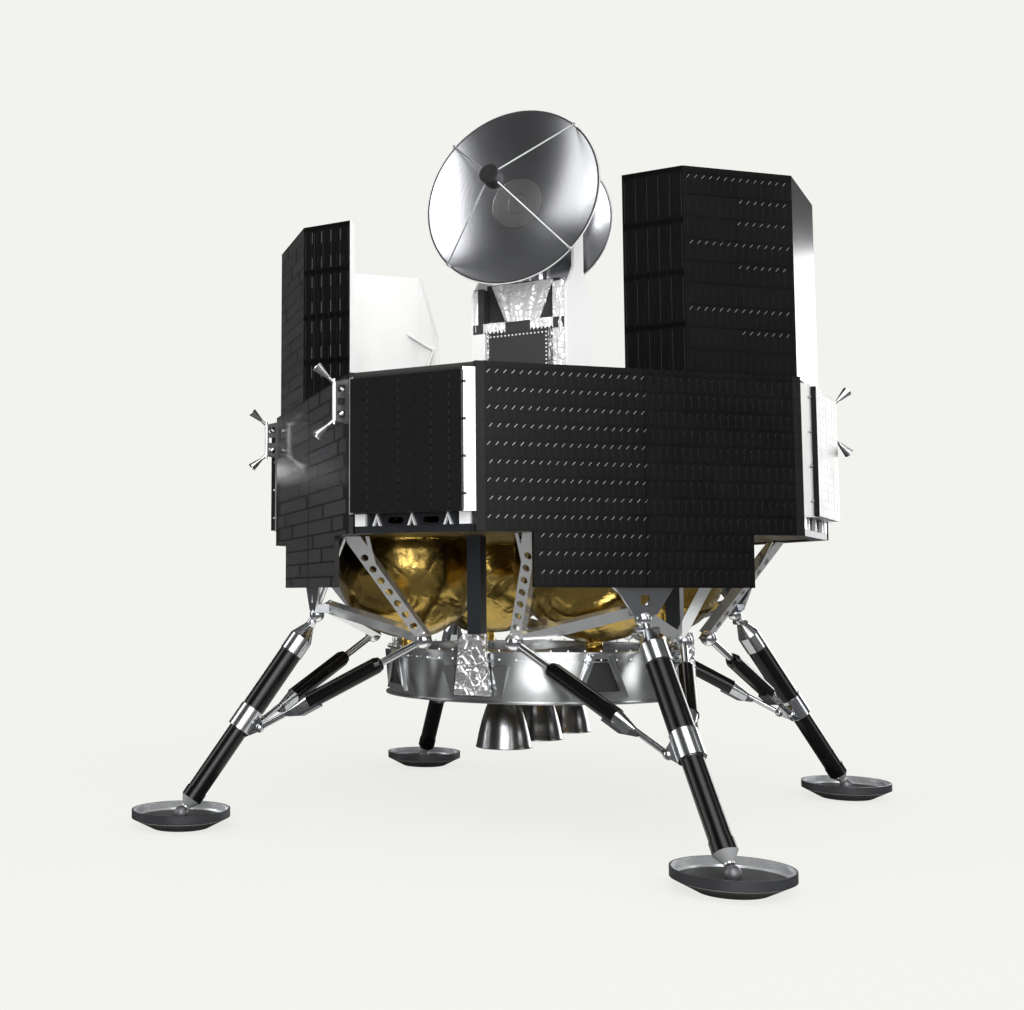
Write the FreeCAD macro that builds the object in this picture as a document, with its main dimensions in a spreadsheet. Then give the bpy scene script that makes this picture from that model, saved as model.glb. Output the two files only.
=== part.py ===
"""Four-legged lunar lander: a FreeCAD macro that builds it and writes one STEP file per sub-part.

Frame: Z up, ground at Z = 0, the lander's axis at X = Y = 0, legs out along X and Y.
The front face looks along -Y, the right face along +X.
"""

import FreeCAD, Part
import math
import operator
import os
import types

import Sketcher

SQRT2 = math.sqrt(2)
Z_AXIS = FreeCAD.Vector(0, 0, 1)

# Driving dimensions: alias, millimetres (or a count), meaning.
SIZES = [
    # body: a square box with its corners cut off
    ("body_apothem", 1326, "axis to a wide face"),
    ("face_half_width", 854, "half the width of a wide face"),
    ("panel_bottom", 1499, "height of the lower edge of the side panels"),
    ("panel_top", 2284, "height of the upper edge of the side panels and of the top deck"),
    ("panel_thickness", 25, "honeycomb panel"),
    ("skirt_half_width", 572, "half the width of the apron below each wide face"),
    ("skirt_rise", 146, "upper joint of a main strut to the lower edge of the apron"),
    ("seam_width", 5, "joint line down the middle of a side panel"),
    ("seam_depth", 4, "depth of that joint line"),
    ("deck_thickness", 30, "top deck"),
    ("frame_height", 91, "ring beam under the body"),
    ("frame_web", 12, "web of the ring beam"),
    ("frame_flange", 60, "width of the flanges of the ring beam"),
    ("flange_thickness", 8, "flanges of the ring beam"),
    ("frame_hole_length", 90, "oval lightening holes of the ring beam"),
    ("frame_hole_height", 30, "oval lightening holes of the ring beam"),
    ("frame_hole_pitch", 187, "between two of those holes"),
    ("frame_hole_rise", 59, "underside of the ring beam to the middle of those holes"),
    ("frame_lip", 32, "height of the ledge along the foot of a corner web"),
    ("chevron_half_width", 22, "half the width of a stiffener between them"),
    ("chevron_leg", 8, "width of one of its legs"),
    ("chevron_proud", 20, "how far it stands out"),
    ("end_block_inset", 58.75, "end of a corner web to the middle of the block there"),
    ("end_block_width", 56, "those blocks"),
    ("lower_deck_thickness", 25, "deck that carries the tanks"),
    # corner modules
    ("module_proud", 64.5, "cut corner to the outer face of a corner panel"),
    ("module_half_width", 288, "half the width of a corner module at its front"),
    ("module_depth", 165, "depth of a corner module"),
    ("corner_panel_over", 4, "corner panel beyond the sides of its module"),
    ("corner_panel_lift", 5, "ring beam to the lower edge of a corner panel"),
    ("corner_panel_drop", 46, "top deck to the upper edge of a corner panel"),
    # folded screens on the deck
    ("tower_height", 1027, "folded screens"),
    ("tower_wall", 55, "wall of the folded screens"),
    ("tower_edge", 246, "where a screen turns back from its first wide wall, to the middle of the face"),
    ("tower_rear_inset", 70, "outside of a wide face to a screen's second wide wall"),
    ("tower_rear_edge", 271, "where a screen turns back from that wall, to the middle of the face"),
    ("wing_length", 306, "full wing of a screen"),
    ("gusset_length", 150, "tapered wing of a screen"),
    ("gusset_height", 603, "height of the tapered wing at its tip"),
    ("stay_radius", 9, "stays behind a screen"),
    ("stay_drop", 75, "top of the tapered wing's tip to the joint of the stays"),
    ("stay_lean", 112, "height of the upper stay's far end above that joint"),
    ("stay_reach", 97, "turn of the second wide wall to the upper stay's end"),
    ("stay_foot_in", 100, "second wide wall to the foot of the lower stay"),
    ("stay_foot_side", 145, "turn of the second wide wall to the foot of the lower stay"),
    # tanks
    ("tank_radius", 395, "propellant tank"),
    ("tank_inset", 576, "outside of a wide face to the axis of a tank"),
    ("tank_drop", 160, "seat of a tank down to the centre of its lower dome"),
    ("tank_headroom", 69, "top of a tank to the top deck"),
    ("tank_flange", 32, "width of the flange that seats a tank"),
    ("tank_flange_height", 10, "thickness of that flange"),
    ("fit_gap", 0.3, "running and seating clearance"),
    # thrust ring, columns and engines
    ("ring_over", 70, "axis of a tank to the outside of the thrust ring's wall"),
    ("ring_wall", 6, "wall of the thrust ring"),
    ("ring_drop", 57, "bottom of a tank to the top of the thrust ring"),
    ("ring_height", 261.5, "thrust ring"),
    ("ring_lip", 26, "width of the lower lip"),
    ("ring_flange", 18, "width of the upper flange, outside the wall"),
    ("ring_flange_inner", 75, "width of the upper flange, inside the wall"),
    ("ring_flange_thickness", 9, "lip and flange"),
    ("ring_rim", 12, "width of the rim below the upper flange"),
    ("ring_rim_drop", 46, "top of the ring to the top of that rim"),
    ("ring_rim_thickness", 6, "that rim"),
    ("bracket_proud", 10, "bracket on the thrust ring below each tank, outside the wall"),
    ("bracket_half_top", 62, "half its width at the top"),
    ("bracket_half_bottom", 150, "half its width at the bottom"),
    ("bracket_lift", 33.5, "bottom of the ring to its lower edge"),
    ("bracket_rail", 30, "width of its rails"),
    ("fin_depth", 42, "depth of the fins on its edges"),
    ("fin_thickness", 6, "those fins"),
    ("gusset_angle", 9.5, "column to the gussets beside it, in degrees"),
    ("gusset_half_width", 42, "half the width of such a gusset at its top"),
    ("gusset_depth", 38, "depth of such a gusset at its top"),
    ("gusset_drop", 75, "top of the ring to its top"),
    ("gusset_lift", 23.5, "bottom of the ring to its point"),
    ("boss_radius", 46, "boss that seats a tank on the thrust ring"),
    ("adapter_bolt_hole", 9, "diameter of its holes"),
    ("adapter_bolt_count", 24, "number of its holes"),
    ("column_inset", 20, "outside of the ring's wall to the axis of a column"),
    ("column_width", 75, "square column"),
    ("column_foot_width", 128, "foot of a column, at its top"),
    ("column_foot_flare", 190, "foot of a column, at its bottom"),
    ("column_foot_rise", 87, "top of the ring to the top of the foot"),
    ("column_foot_lift", 35.5, "bottom of the ring to the bottom of the foot's outer cheek"),
    ("column_foot_corner", 22, "bevel at the foot's upper corners"),
    ("column_cheek", 42, "thickness of the outer cheek"),
    ("engine_inset", 352, "inside of the ring's wall to the axis of an outer engine"),
    ("engine_bell_length", 344, "throat to the mouth of a nozzle"),
    ("engine_exit_radius", 150, "mouth of a nozzle"),
    ("engine_throat_drop", 55, "engine beam to a throat"),
    ("engine_throat_radius", 38, "outside of a throat"),
    ("engine_bell_arc", 520, "radius of the bell's contour"),
    ("engine_wall", 4, "wall of a nozzle"),
    ("engine_chamber_radius", 56, "combustion chamber"),
    ("engine_head_radius", 70, "injector head"),
    ("engine_head_thickness", 12, "injector head"),
    ("beam_drop", 120, "top of the ring to the underside of the engine beam"),
    ("beam_height", 90, "engine beam"),
    ("beam_width", 110, "engine beam"),
    # landing legs
    ("joint_inset", 51, "outside of a wide face to the upper joint of a main strut"),
    ("joint_height", 1097, "height of that joint"),
    ("joint_ball", 40, "radius of its ball"),
    ("foot_reach", 674, "outside of a wide face to the middle of a foot pad"),
    ("foot_joint_height", 70, "height of the ball joint in the pad"),
    ("foot_ball", 38, "radius of the pad's ball"),
    ("node_inset", 505, "outside of a wide face to a lower node"),
    ("node_side", 468, "lower node to the leg's plane"),
    ("node_height", 974, "height of a lower node"),
    ("node_ball", 45, "radius of a lower node's ball"),
    ("outrigger_inset", 86, "outside of a wide face to the top of an outrigger"),
    ("outrigger_side", 545, "top of an outrigger, to the leg's plane"),
    ("outrigger_web", 62, "web of an outrigger"),
    ("outrigger_flange", 52, "flanges of an outrigger"),
    ("outrigger_wall", 5, "sheet of an outrigger"),
    ("outrigger_hole", 19, "radius of a lightening hole"),
    ("outrigger_pitch", 74, "between two lightening holes"),
    ("outrigger_start", 95, "lower node to the first lightening hole"),
    ("crossbeam_width", 58, "beam from the upper joint to a lower node"),
    ("crossbeam_wall", 6, "sheet of that beam"),
    ("hanger_lap", 57, "edge of the apron to the top of the plate that carries the upper joint"),
    ("hanger_half_top", 150, "half its width at the top"),
    ("hanger_half_bottom", 62, "half its width at the bottom"),
    ("hanger_thickness", 12, "that plate"),
    ("hanger_window", 46, "square window in it"),
    ("fishplate_length", 190, "plate at the top of an outrigger"),
    ("fishplate_width", 78, "that plate, beside the web"),
    ("fishplate_rim", 18, "border round its window"),
    ("v_strut_radius", 13, "tubes from the upper joint up to the ring beam"),
    ("strut_upper_radius", 61, "upper tube of a main strut"),
    ("strut_lower_radius", 52, "lower tube of a main strut"),
    ("strut_cap_radius", 64, "top cap of a main strut"),
    ("strut_neck_radius", 24, "neck beside the joint's ball"),
    ("strut_neck_end", 66, "joint to the end of the neck"),
    ("strut_cone_end", 152, "joint to the end of the cone"),
    ("strut_cap_end", 250, "joint to the end of the top cap"),
    ("collar_middle", 671, "joint to the middle of the collar"),
    ("collar_length", 128, "collar of a main strut"),
    ("collar_radius", 66, "collar of a main strut"),
    ("neck_pin", 15, "radius of the cross pin in the neck"),
    ("neck_pin_half", 60, "half the length of the cross pin"),
    ("neck_pin_along", 64, "joint to the cross pin"),
    ("strut_sleeve", 92, "joint sleeve at the lower end, to the foot joint"),
    ("strut_sleeve_step", 4, "sleeve beyond the lower tube"),
    ("lug_in", 76, "strut axis to a brace lug, towards the body"),
    ("lug_side", 62, "strut axis to a brace lug, sideways"),
    ("lug_ball", 25, "radius of a brace lug's ball"),
    ("lug_plate", 34, "thickness of a brace lug"),
    ("lug_tip", 40, "length of a brace lug at its tip, along the strut"),
    ("lug_tail", 92, "middle of the collar to a brace lug's lower corner"),
    ("brace_rod", 19, "radius of a brace's rod"),
    ("brace_tube", 43, "radius of a brace's tube"),
    ("brace_rod_end", 250, "lower node to the end of the rod"),
    ("brace_dome", 34, "length of the dome on the tube's end"),
    ("brace_dome_step", 8, "length of the dome's first, steep part"),
    ("brace_tube_end", 690, "lower node to the end of the tube"),
    ("brace_cone_end", 800, "lower node to the end of the cone"),
    ("guard_width", 56, "guard plate below the lower end of a brace"),
    ("guard_drop", 50, "brace axis to the outside of the guard"),
    ("pad_radius", 255, "rim of a foot pad"),
    ("pad_floor", 147, "flat bottom of a foot pad"),
    ("pad_height", 95, "foot pad"),
    ("pad_band", 40, "upright band of a foot pad"),
    ("pad_wall", 8, "sheet of a foot pad"),
    ("pad_post", 26, "radius of the post under the ball"),
    ("pad_fin", 60, "reach of the fins round the post"),
    ("pad_fin_height", 46, "top of those fins"),
    ("pad_fin_thickness", 8, "those fins"),
    # thruster pods
    ("pod_inset", 24, "edge of a wide face to a thruster pod"),
    ("pod_drop", 142, "top deck to the middle of a pod"),
    ("pod_base", 224, "height of a pod's bracket at the face"),
    ("pod_tip", 190, "height of a pod's bracket at its outer edge"),
    ("pod_depth", 70, "how far a pod's bracket stands out"),
    ("pod_width", 22, "thickness of a pod's bracket"),
    ("pod_slot", 34, "height of the slots in a pod's bracket"),
    ("pod_rod", 9, "radius of the upright rod at its outer edge"),
    ("nozzle_offset", 54, "middle of a pod to the root of a nozzle"),
    ("nozzle_angle", 41, "tilt of a nozzle, in degrees"),
    ("nozzle_root", 26, "side face to the root of a nozzle"),
    ("nozzle_length", 176, "thruster with its nozzle"),
    ("nozzle_stem", 96, "length of a thruster's stem"),
    ("nozzle_stem_radius", 9, "stem of a thruster"),
    ("nozzle_mouth", 26, "radius of a thruster's mouth"),
    ("nozzle_wall", 2, "wall of a thruster's nozzle"),
    ("nozzle_floor", 12, "stem to the inside of a thruster's nozzle"),
    # mast and dishes, measured along the diagonal from the axis
    ("mast_half_width", 275, "half the width of the mast, between its plates"),
    ("mast_half_depth", 200, "half the depth of the mast"),
    ("mast_height", 406, "the mast's lower box"),
    ("ledge_height", 60, "ledge over the lower box"),
    ("ledge_over", 10, "how far the ledge stands out"),
    ("pedestal_inset", 40, "side plates to the pedestal"),
    ("mast_post_width", 62, "corner posts at the front and back of the mast"),
    ("mast_post_depth", 60, "those posts"),
    ("mast_post_drop", 40, "top of the pedestal to the top of those posts"),
    ("mast_cover_inset", 97, "side plates to the cover on the mast's front"),
    ("mast_cover_lift", 36, "top deck to the lower edge of that cover"),
    ("mast_cover_thickness", 8, "that cover"),
    ("mast_unit_width", 84, "small unit beside that cover"),
    ("mast_unit_height", 150, "that unit"),
    ("mast_unit_depth", 34, "that unit"),
    ("pedestal_half_depth", 100, "half the depth of the pedestal"),
    ("pedestal_height", 250, "pedestal"),
    ("plate_thickness", 15, "side plates of the mast"),
    ("plate_rise", 380, "top of the pedestal to the top of the side plates"),
    ("shoulder_drop", 80, "top of the pedestal to where the side plates start to narrow"),
    ("neck_rise", 60, "top of the pedestal to where they are narrow"),
    ("plate_neck_half", 80, "half the depth of the narrow part"),
    ("support_half_bottom", 98, "gimbal support, half width at its foot"),
    ("support_half_top", 190, "gimbal support, half width at its top"),
    ("support_drop", 15, "top of the pedestal to the top of a gimbal support"),
    ("support_depth", 38, "depth of a gimbal support"),
    ("pivot_out", 60, "axis to the turning axis of a dish"),
    ("pivot_rise", 417, "top of the pedestal to the elevation axis"),
    ("turntable_radius", 50, "turntable of a yoke"),
    ("turntable_thickness", 16, "turntable of a yoke"),
    ("fork_half_gap", 70, "half the gap between the arms of a yoke"),
    ("fork_arm", 14, "thickness of an arm of a yoke"),
    ("fork_half_depth", 30, "half the depth of an arm of a yoke"),
    ("fork_over", 38, "arm of a yoke above the elevation axis"),
    ("hub_radius", 42, "hub behind a dish"),
    ("trunnion_radius", 15, "trunnion of a dish"),
    ("rest_angle", 8, "elevation of the dishes at rest, in degrees"),
    ("front_dish_radius", 525, "front dish"),
    ("front_dish_depth", 108, "front dish"),
    ("front_dish_offset", 130, "elevation axis to the front dish's vertex"),
    ("rear_dish_radius", 400, "rear dish"),
    ("rear_dish_depth", 84, "rear dish"),
    ("rear_dish_offset", 150, "elevation axis to the rear dish's vertex"),
    ("dish_wall", 4, "shell of a dish"),
    ("dish_lip", 16, "flat lip round a dish"),
    ("feed_ahead", 420, "vertex of a dish to the face of its feed"),
    ("feed_length", 100, "feed"),
    ("feed_radius", 54, "feed"),
    ("feed_strut", 5, "radius of the struts that carry a feed"),
    # payload mount on the top deck
    ("payload_out", 950, "axis to the middle of the payload bolt square, on the diagonal"),
    ("payload_pitch", 200, "side of the payload bolt square"),
    ("payload_hole", 8.5, "diameter of its holes"),
]

doc = FreeCAD.newDocument("LunarLander")
sheet = doc.addObject("Spreadsheet::Sheet", "Sizes")


class Length:
    """A number together with the formula over the sheet's cells that gives it."""

    def __init__(self, value, formula):
        self.value = float(value)
        self.formula = formula

    def __add__(self, other):
        return joined(operator.add, "+", self, other)

    def __radd__(self, other):
        return joined(operator.add, "+", other, self)

    def __sub__(self, other):
        return joined(operator.sub, "-", self, other)

    def __rsub__(self, other):
        return joined(operator.sub, "-", other, self)

    def __mul__(self, other):
        return joined(operator.mul, "*", self, other)

    def __rmul__(self, other):
        return joined(operator.mul, "*", other, self)

    def __truediv__(self, other):
        return joined(operator.truediv, "/", self, other)

    def __neg__(self):
        return joined(operator.sub, "-", 0, self)


def as_length(item):
    return item if isinstance(item, Length) else Length(item, "(%r)" % float(item))


def joined(action, sign, left, right):
    left, right = as_length(left), as_length(right)
    formula = "(%s %s %s)" % (left.formula, sign, right.formula)
    return Length(action(left.value, right.value), formula)


def root(item):
    return Length(math.sqrt(item.value), "sqrt(%s)" % item.formula)


def number(item):
    return as_length(item).value


def bind(item, path, length):
    item.setExpression(path, as_length(length).formula)


size = types.SimpleNamespace()
for row, (alias, value, meaning) in enumerate(SIZES, 1):
    sheet.set("A%d" % row, "%s" % value)
    sheet.set("B%d" % row, meaning)
    sheet.setAlias("A%d" % row, alias)
    setattr(size, alias, Length(value, "Sizes.%s" % alias))
doc.recompute()

# places that follow from the sizes
size.joint_out = size.body_apothem - size.joint_inset
size.foot_out = size.body_apothem + size.foot_reach
size.node_out = size.body_apothem - size.node_inset
size.outrigger_out = size.body_apothem - size.outrigger_inset
size.corner_out = (size.body_apothem + size.face_half_width) / SQRT2
size.corner_side = (size.body_apothem - size.face_half_width) / SQRT2
size.module_out = size.corner_out + size.module_proud
size.end_block_side = size.corner_side - size.end_block_inset
size.corner_panel_half_width = size.module_half_width + size.corner_panel_over
size.corner_panel_bottom = size.panel_bottom + size.frame_height + size.corner_panel_lift
size.corner_panel_top = size.panel_top - size.corner_panel_drop
size.tower_top = size.panel_top + size.tower_height
size.skirt_bottom = size.joint_height + size.skirt_rise
size.hanger_top = size.skirt_bottom + size.hanger_lap
size.pod_side = size.face_half_width - size.pod_inset
size.pod_height = size.panel_top - size.pod_drop
size.deck_floor = size.panel_bottom + size.flange_thickness
size.tank_out = size.body_apothem - size.tank_inset
size.tank_seat = size.deck_floor + size.lower_deck_thickness
size.tank_dome_low = size.tank_seat - size.tank_drop
size.tank_dome_high = size.panel_top - size.deck_thickness - size.tank_headroom - size.tank_radius
size.ring_top = size.tank_dome_low - size.tank_radius - size.ring_drop
size.ring_bottom = size.ring_top - size.ring_height
size.ring_radius = size.tank_out + size.ring_over
size.column_out = size.ring_radius - size.column_inset
size.adapter_bolt_circle = size.ring_radius + size.ring_lip / 2
size.bracket_bottom = size.ring_bottom + size.bracket_lift
size.gusset_top = size.ring_top - size.gusset_drop
size.gusset_bottom = size.ring_bottom + size.gusset_lift
size.column_foot_top = size.ring_top + size.column_foot_rise
size.column_foot_bottom = size.ring_bottom + size.column_foot_lift
size.beam_bottom = size.ring_top - size.beam_drop
size.engine_spacing = size.ring_radius - size.ring_wall - size.engine_inset
size.engine_head_bottom = size.beam_bottom - size.engine_head_thickness
size.engine_throat_height = size.beam_bottom - size.engine_throat_drop
size.engine_exit_height = size.engine_throat_height - size.engine_bell_length
size.mast_top = size.panel_top + size.mast_height
size.mast_cover_half = size.mast_half_width - size.mast_cover_inset
size.mast_cover_bottom = size.panel_top + size.mast_cover_lift
size.pedestal_foot = size.mast_top + size.ledge_height
size.pedestal_top = size.pedestal_foot + size.pedestal_height
size.pedestal_half_width = size.mast_half_width - size.pedestal_inset
size.mast_post_top = size.pedestal_top - size.mast_post_drop
size.plate_top = size.pedestal_top + size.plate_rise
size.plate_shoulder = size.pedestal_top - size.shoulder_drop
size.plate_neck = size.pedestal_top + size.neck_rise
size.support_top = size.pedestal_top - size.support_drop
size.pivot_height = size.pedestal_top + size.pivot_rise

NODES = []


# ---------------------------------------------------------------- building blocks

def node(item, name):
    """Names a finished sub-part, which is then checked and written."""
    item.Label = name
    NODES.append(item)
    return item


def place(item, base, rotation=None):
    """Puts an object at a base point given by lengths, turned by a rotation."""
    item.Placement = FreeCAD.Placement(vector(base), rotation or FreeCAD.Rotation())
    for letter, length in zip("xyz", base):
        bind(item, "Placement.Base." + letter, length)
    return item


def vector(point):
    return FreeCAD.Vector(*[number(length) for length in point])


def about_z(degrees):
    return FreeCAD.Rotation(Z_AXIS, degrees)


# lays a plate drawn flat, X sideways and Y up, upright with its thickness towards -Y
UPRIGHT = FreeCAD.Rotation(FreeCAD.Vector(1, 0, 0), 90)


def new_sketch(body, name, height=0, role="XY_Plane"):
    sketch = body.newObject("Sketcher::SketchObject", name)
    plane = next(item for item in body.Origin.OriginFeatures if item.Role == role)
    sketch.AttachmentSupport = (plane, [""])
    sketch.MapMode = "FlatFace"
    bind(sketch, "AttachmentOffset.Base.z", height)
    return sketch


def add_outline(sketch, corners):
    """Closed outline; a corner is (u, v), or (u, v, radius) where the side after it is an arc.

    A positive radius has its centre on the left of that side, a negative one on the right.
    """
    places = [FreeCAD.Vector(number(corner[0]), number(corner[1]), 0) for corner in corners]
    sides = []
    rules = []
    lengths = []
    for index, corner in enumerate(corners):
        start, end = places[index], places[(index + 1) % len(corners)]
        if len(corner) == 2:
            sides.append((sketch.addGeometry(Part.LineSegment(start, end), False), 1, 2))
            continue
        radius = corner[2] if number(corner[2]) > 0 else -corner[2]
        along = end - start
        left = FreeCAD.Vector(-along.y, along.x, 0).normalize()
        rise = math.sqrt(max(0.0, number(radius) ** 2 - (along.Length / 2) ** 2))
        centre = (start + end) / 2 + left * math.copysign(rise, number(corner[2]))
        circle = Part.Circle(centre, Z_AXIS, number(radius))
        begin, finish = [math.atan2(p.y - centre.y, p.x - centre.x) for p in (start, end)]
        if number(corner[2]) > 0:
            arc = Part.ArcOfCircle(circle, begin, finish)
            sides.append((sketch.addGeometry(arc, False), 1, 2))
        else:
            arc = Part.ArcOfCircle(circle, finish, begin)
            sides.append((sketch.addGeometry(arc, False), 2, 1))
        rules.append(Sketcher.Constraint("Radius", sides[-1][0], number(radius)))
        lengths.append(radius)
    for index, corner in enumerate(corners):
        side, first, _ = sides[index]
        rules.append(Sketcher.Constraint("DistanceX", -1, 1, side, first, places[index].x))
        rules.append(Sketcher.Constraint("DistanceY", -1, 1, side, first, places[index].y))
        lengths += corner[:2]
    for index, (side, _, last) in enumerate(sides):
        following, first, _ = sides[(index + 1) % len(sides)]
        rules.append(Sketcher.Constraint("Coincident", side, last, following, first))
    start = sketch.ConstraintCount
    sketch.addConstraint(rules)
    for index, length in enumerate(lengths, start):
        bind(sketch, "Constraints[%d]" % index, length)


def add_circle(sketch, centre, radius):
    middle = FreeCAD.Vector(number(centre[0]), number(centre[1]), 0)
    edge = sketch.addGeometry(Part.Circle(middle, Z_AXIS, number(radius)), False)
    start = sketch.ConstraintCount
    sketch.addConstraint([
        Sketcher.Constraint("DistanceX", -1, 1, edge, 3, middle.x),
        Sketcher.Constraint("DistanceY", -1, 1, edge, 3, middle.y),
        Sketcher.Constraint("Radius", edge, number(radius)),
    ])
    for index, length in enumerate((centre[0], centre[1], radius), start):
        bind(sketch, "Constraints[%d]" % index, length)


def turned(name, corners):
    """Body turned from an outline of (radius, height) about its own Z axis."""
    body = doc.addObject("PartDesign::Body", name)
    sketch = new_sketch(body, name + "_outline", role="XZ_Plane")
    add_outline(sketch, corners)
    turn = body.newObject("PartDesign::Revolution", name + "_turn")
    turn.Profile = sketch
    turn.ReferenceAxis = (sketch, ["V_Axis"])
    turn.Angle = 360
    return body


def padded(name, outlines, height, circles=(), base=0):
    """Body raised from outlines, and round holes in them, drawn in the XY plane."""
    body = doc.addObject("PartDesign::Body", name)
    sketch = new_sketch(body, name + "_outline", base)
    for corners in outlines:
        add_outline(sketch, corners)
    for centre, radius in circles:
        add_circle(sketch, centre, radius)
    pad = body.newObject("PartDesign::Pad", name + "_pad")
    pad.Profile = sketch
    bind(pad, "Length", height)
    return body


def pocket(body, name, top, depth, outlines=(), circles=()):
    """Cuts down into a body from the height top."""
    sketch = new_sketch(body, name + "_outline", top)
    for corners in outlines:
        add_outline(sketch, corners)
    for centre, radius in circles:
        add_circle(sketch, centre, radius)
    cut = body.newObject("PartDesign::Pocket", name)
    cut.Profile = sketch
    bind(cut, "Length", depth)
    return cut


def patterned(body, name, features, count):
    """Repeats features of a body round its Z axis."""
    pattern = body.newObject("PartDesign::PolarPattern", name)
    pattern.Originals = features
    axis = next(item for item in body.Origin.OriginFeatures if item.Role == "Z_Axis")
    pattern.Axis = (axis, [""])
    pattern.Angle = 360
    bind(pattern, "Occurrences", count)
    body.Tip = pattern
    return body


def rectangle(half_width, low, high):
    return [(-half_width, low), (half_width, low), (half_width, high), (-half_width, high)]


def box(name, corner, lengths, rotation=None):
    item = doc.addObject("Part::Box", name)
    for prop, length in zip(("Length", "Width", "Height"), lengths):
        bind(item, prop, length)
    return place(item, corner, rotation)


def ball(name, centre, radius):
    item = doc.addObject("Part::Sphere", name)
    bind(item, "Radius", radius)
    return place(item, centre)


def cylinder(name, base, radius, height, rotation=None):
    item = doc.addObject("Part::Cylinder", name)
    bind(item, "Radius", radius)
    bind(item, "Height", height)
    return place(item, base, rotation)


def fused(name, items):
    item = doc.addObject("Part::MultiFuse", name)
    item.Shapes = items
    return item


def cut(name, base, tool):
    item = doc.addObject("Part::Cut", name)
    item.Base, item.Tool = base, tool
    return item


def common(name, base, tool):
    item = doc.addObject("Part::Common", name)
    item.Base, item.Tool = base, tool
    return item


def grouped(name, items):
    item = doc.addObject("Part::Compound", name)
    item.Links = items
    return item


def mirrored(name, source, normal):
    item = doc.addObject("Part::Mirroring", name)
    item.Source = source
    item.Normal = normal
    return item


def span(start, end):
    """Distance between two points given by lengths."""
    squares = [(b - a) * (b - a) for a, b in zip(start, end)]
    return root(squares[0] + squares[1] + squares[2])


def aim(start, end, side=None):
    """Rotation that takes Z along start to end, and X as near as can be to side."""
    along = vector(end) - vector(start)
    if side is None:
        return FreeCAD.Rotation(Z_AXIS, along)
    across = along.cross(FreeCAD.Vector(*side))
    return FreeCAD.Rotation(across.cross(along), across, along, "ZXY")


def tube(name, start, end, radius):
    return cylinder(name, start, radius, span(start, end), aim(start, end))


def along_line(start, end, share):
    return tuple(a + (b - a) * share for a, b in zip(start, end))


def octagon(inset):
    """Plan of the body, drawn in by inset all round."""
    wide = size.body_apothem - inset
    half = size.face_half_width - inset * (SQRT2 - 1)
    quarter = [(half, -wide), (wide, -half), (wide, half), (half, wide)]
    return quarter + [(-x, -y) for x, y in quarter]


def four_round(name, source):
    """The four copies of an object made by quarter turns about the lander's axis."""
    copies = [source]
    for turn in (90, 180, 270):
        copy = doc.addObject("Part::Compound", "%s_turned_%d" % (name, turn))
        copy.Links = [source]
        copy.Placement = FreeCAD.Placement(FreeCAD.Vector(), about_z(turn))
        copies.append(copy)
    return grouped(name, copies)


# ---------------------------------------------------------------- body

# name of a side, and the turn about Z that brings +X to it
SIDES = [("front", -90), ("left", 180), ("right", 0), ("rear", 90)]


def facing(turn, out, side=0, height=0):
    """Placement data of a plate that stands upright and faces out from the axis."""
    angle = math.radians(turn)
    base = (out * math.cos(angle) - side * math.sin(angle),
            out * math.sin(angle) + side * math.cos(angle),
            height)
    return base, about_z(turn + 90).multiply(UPRIGHT)


def side_panel(name, turn):
    wide, skirt = size.face_half_width, size.skirt_half_width
    outline = [
        (-skirt, size.skirt_bottom), (skirt, size.skirt_bottom),
        (skirt, size.panel_bottom), (wide, size.panel_bottom),
        (wide, size.panel_top), (-wide, size.panel_top),
        (-wide, size.panel_bottom), (-skirt, size.panel_bottom),
    ]
    body = padded("panel_" + name, [outline], size.panel_thickness)
    seam = rectangle(size.seam_width / 2, size.skirt_bottom - 1, size.panel_top + 1)
    pocket(body, "seam_" + name, size.panel_thickness, size.seam_depth, [seam])
    base, rotation = facing(turn, size.body_apothem - size.panel_thickness)
    node(place(body, base, rotation), "side_panel_" + name)


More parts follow.
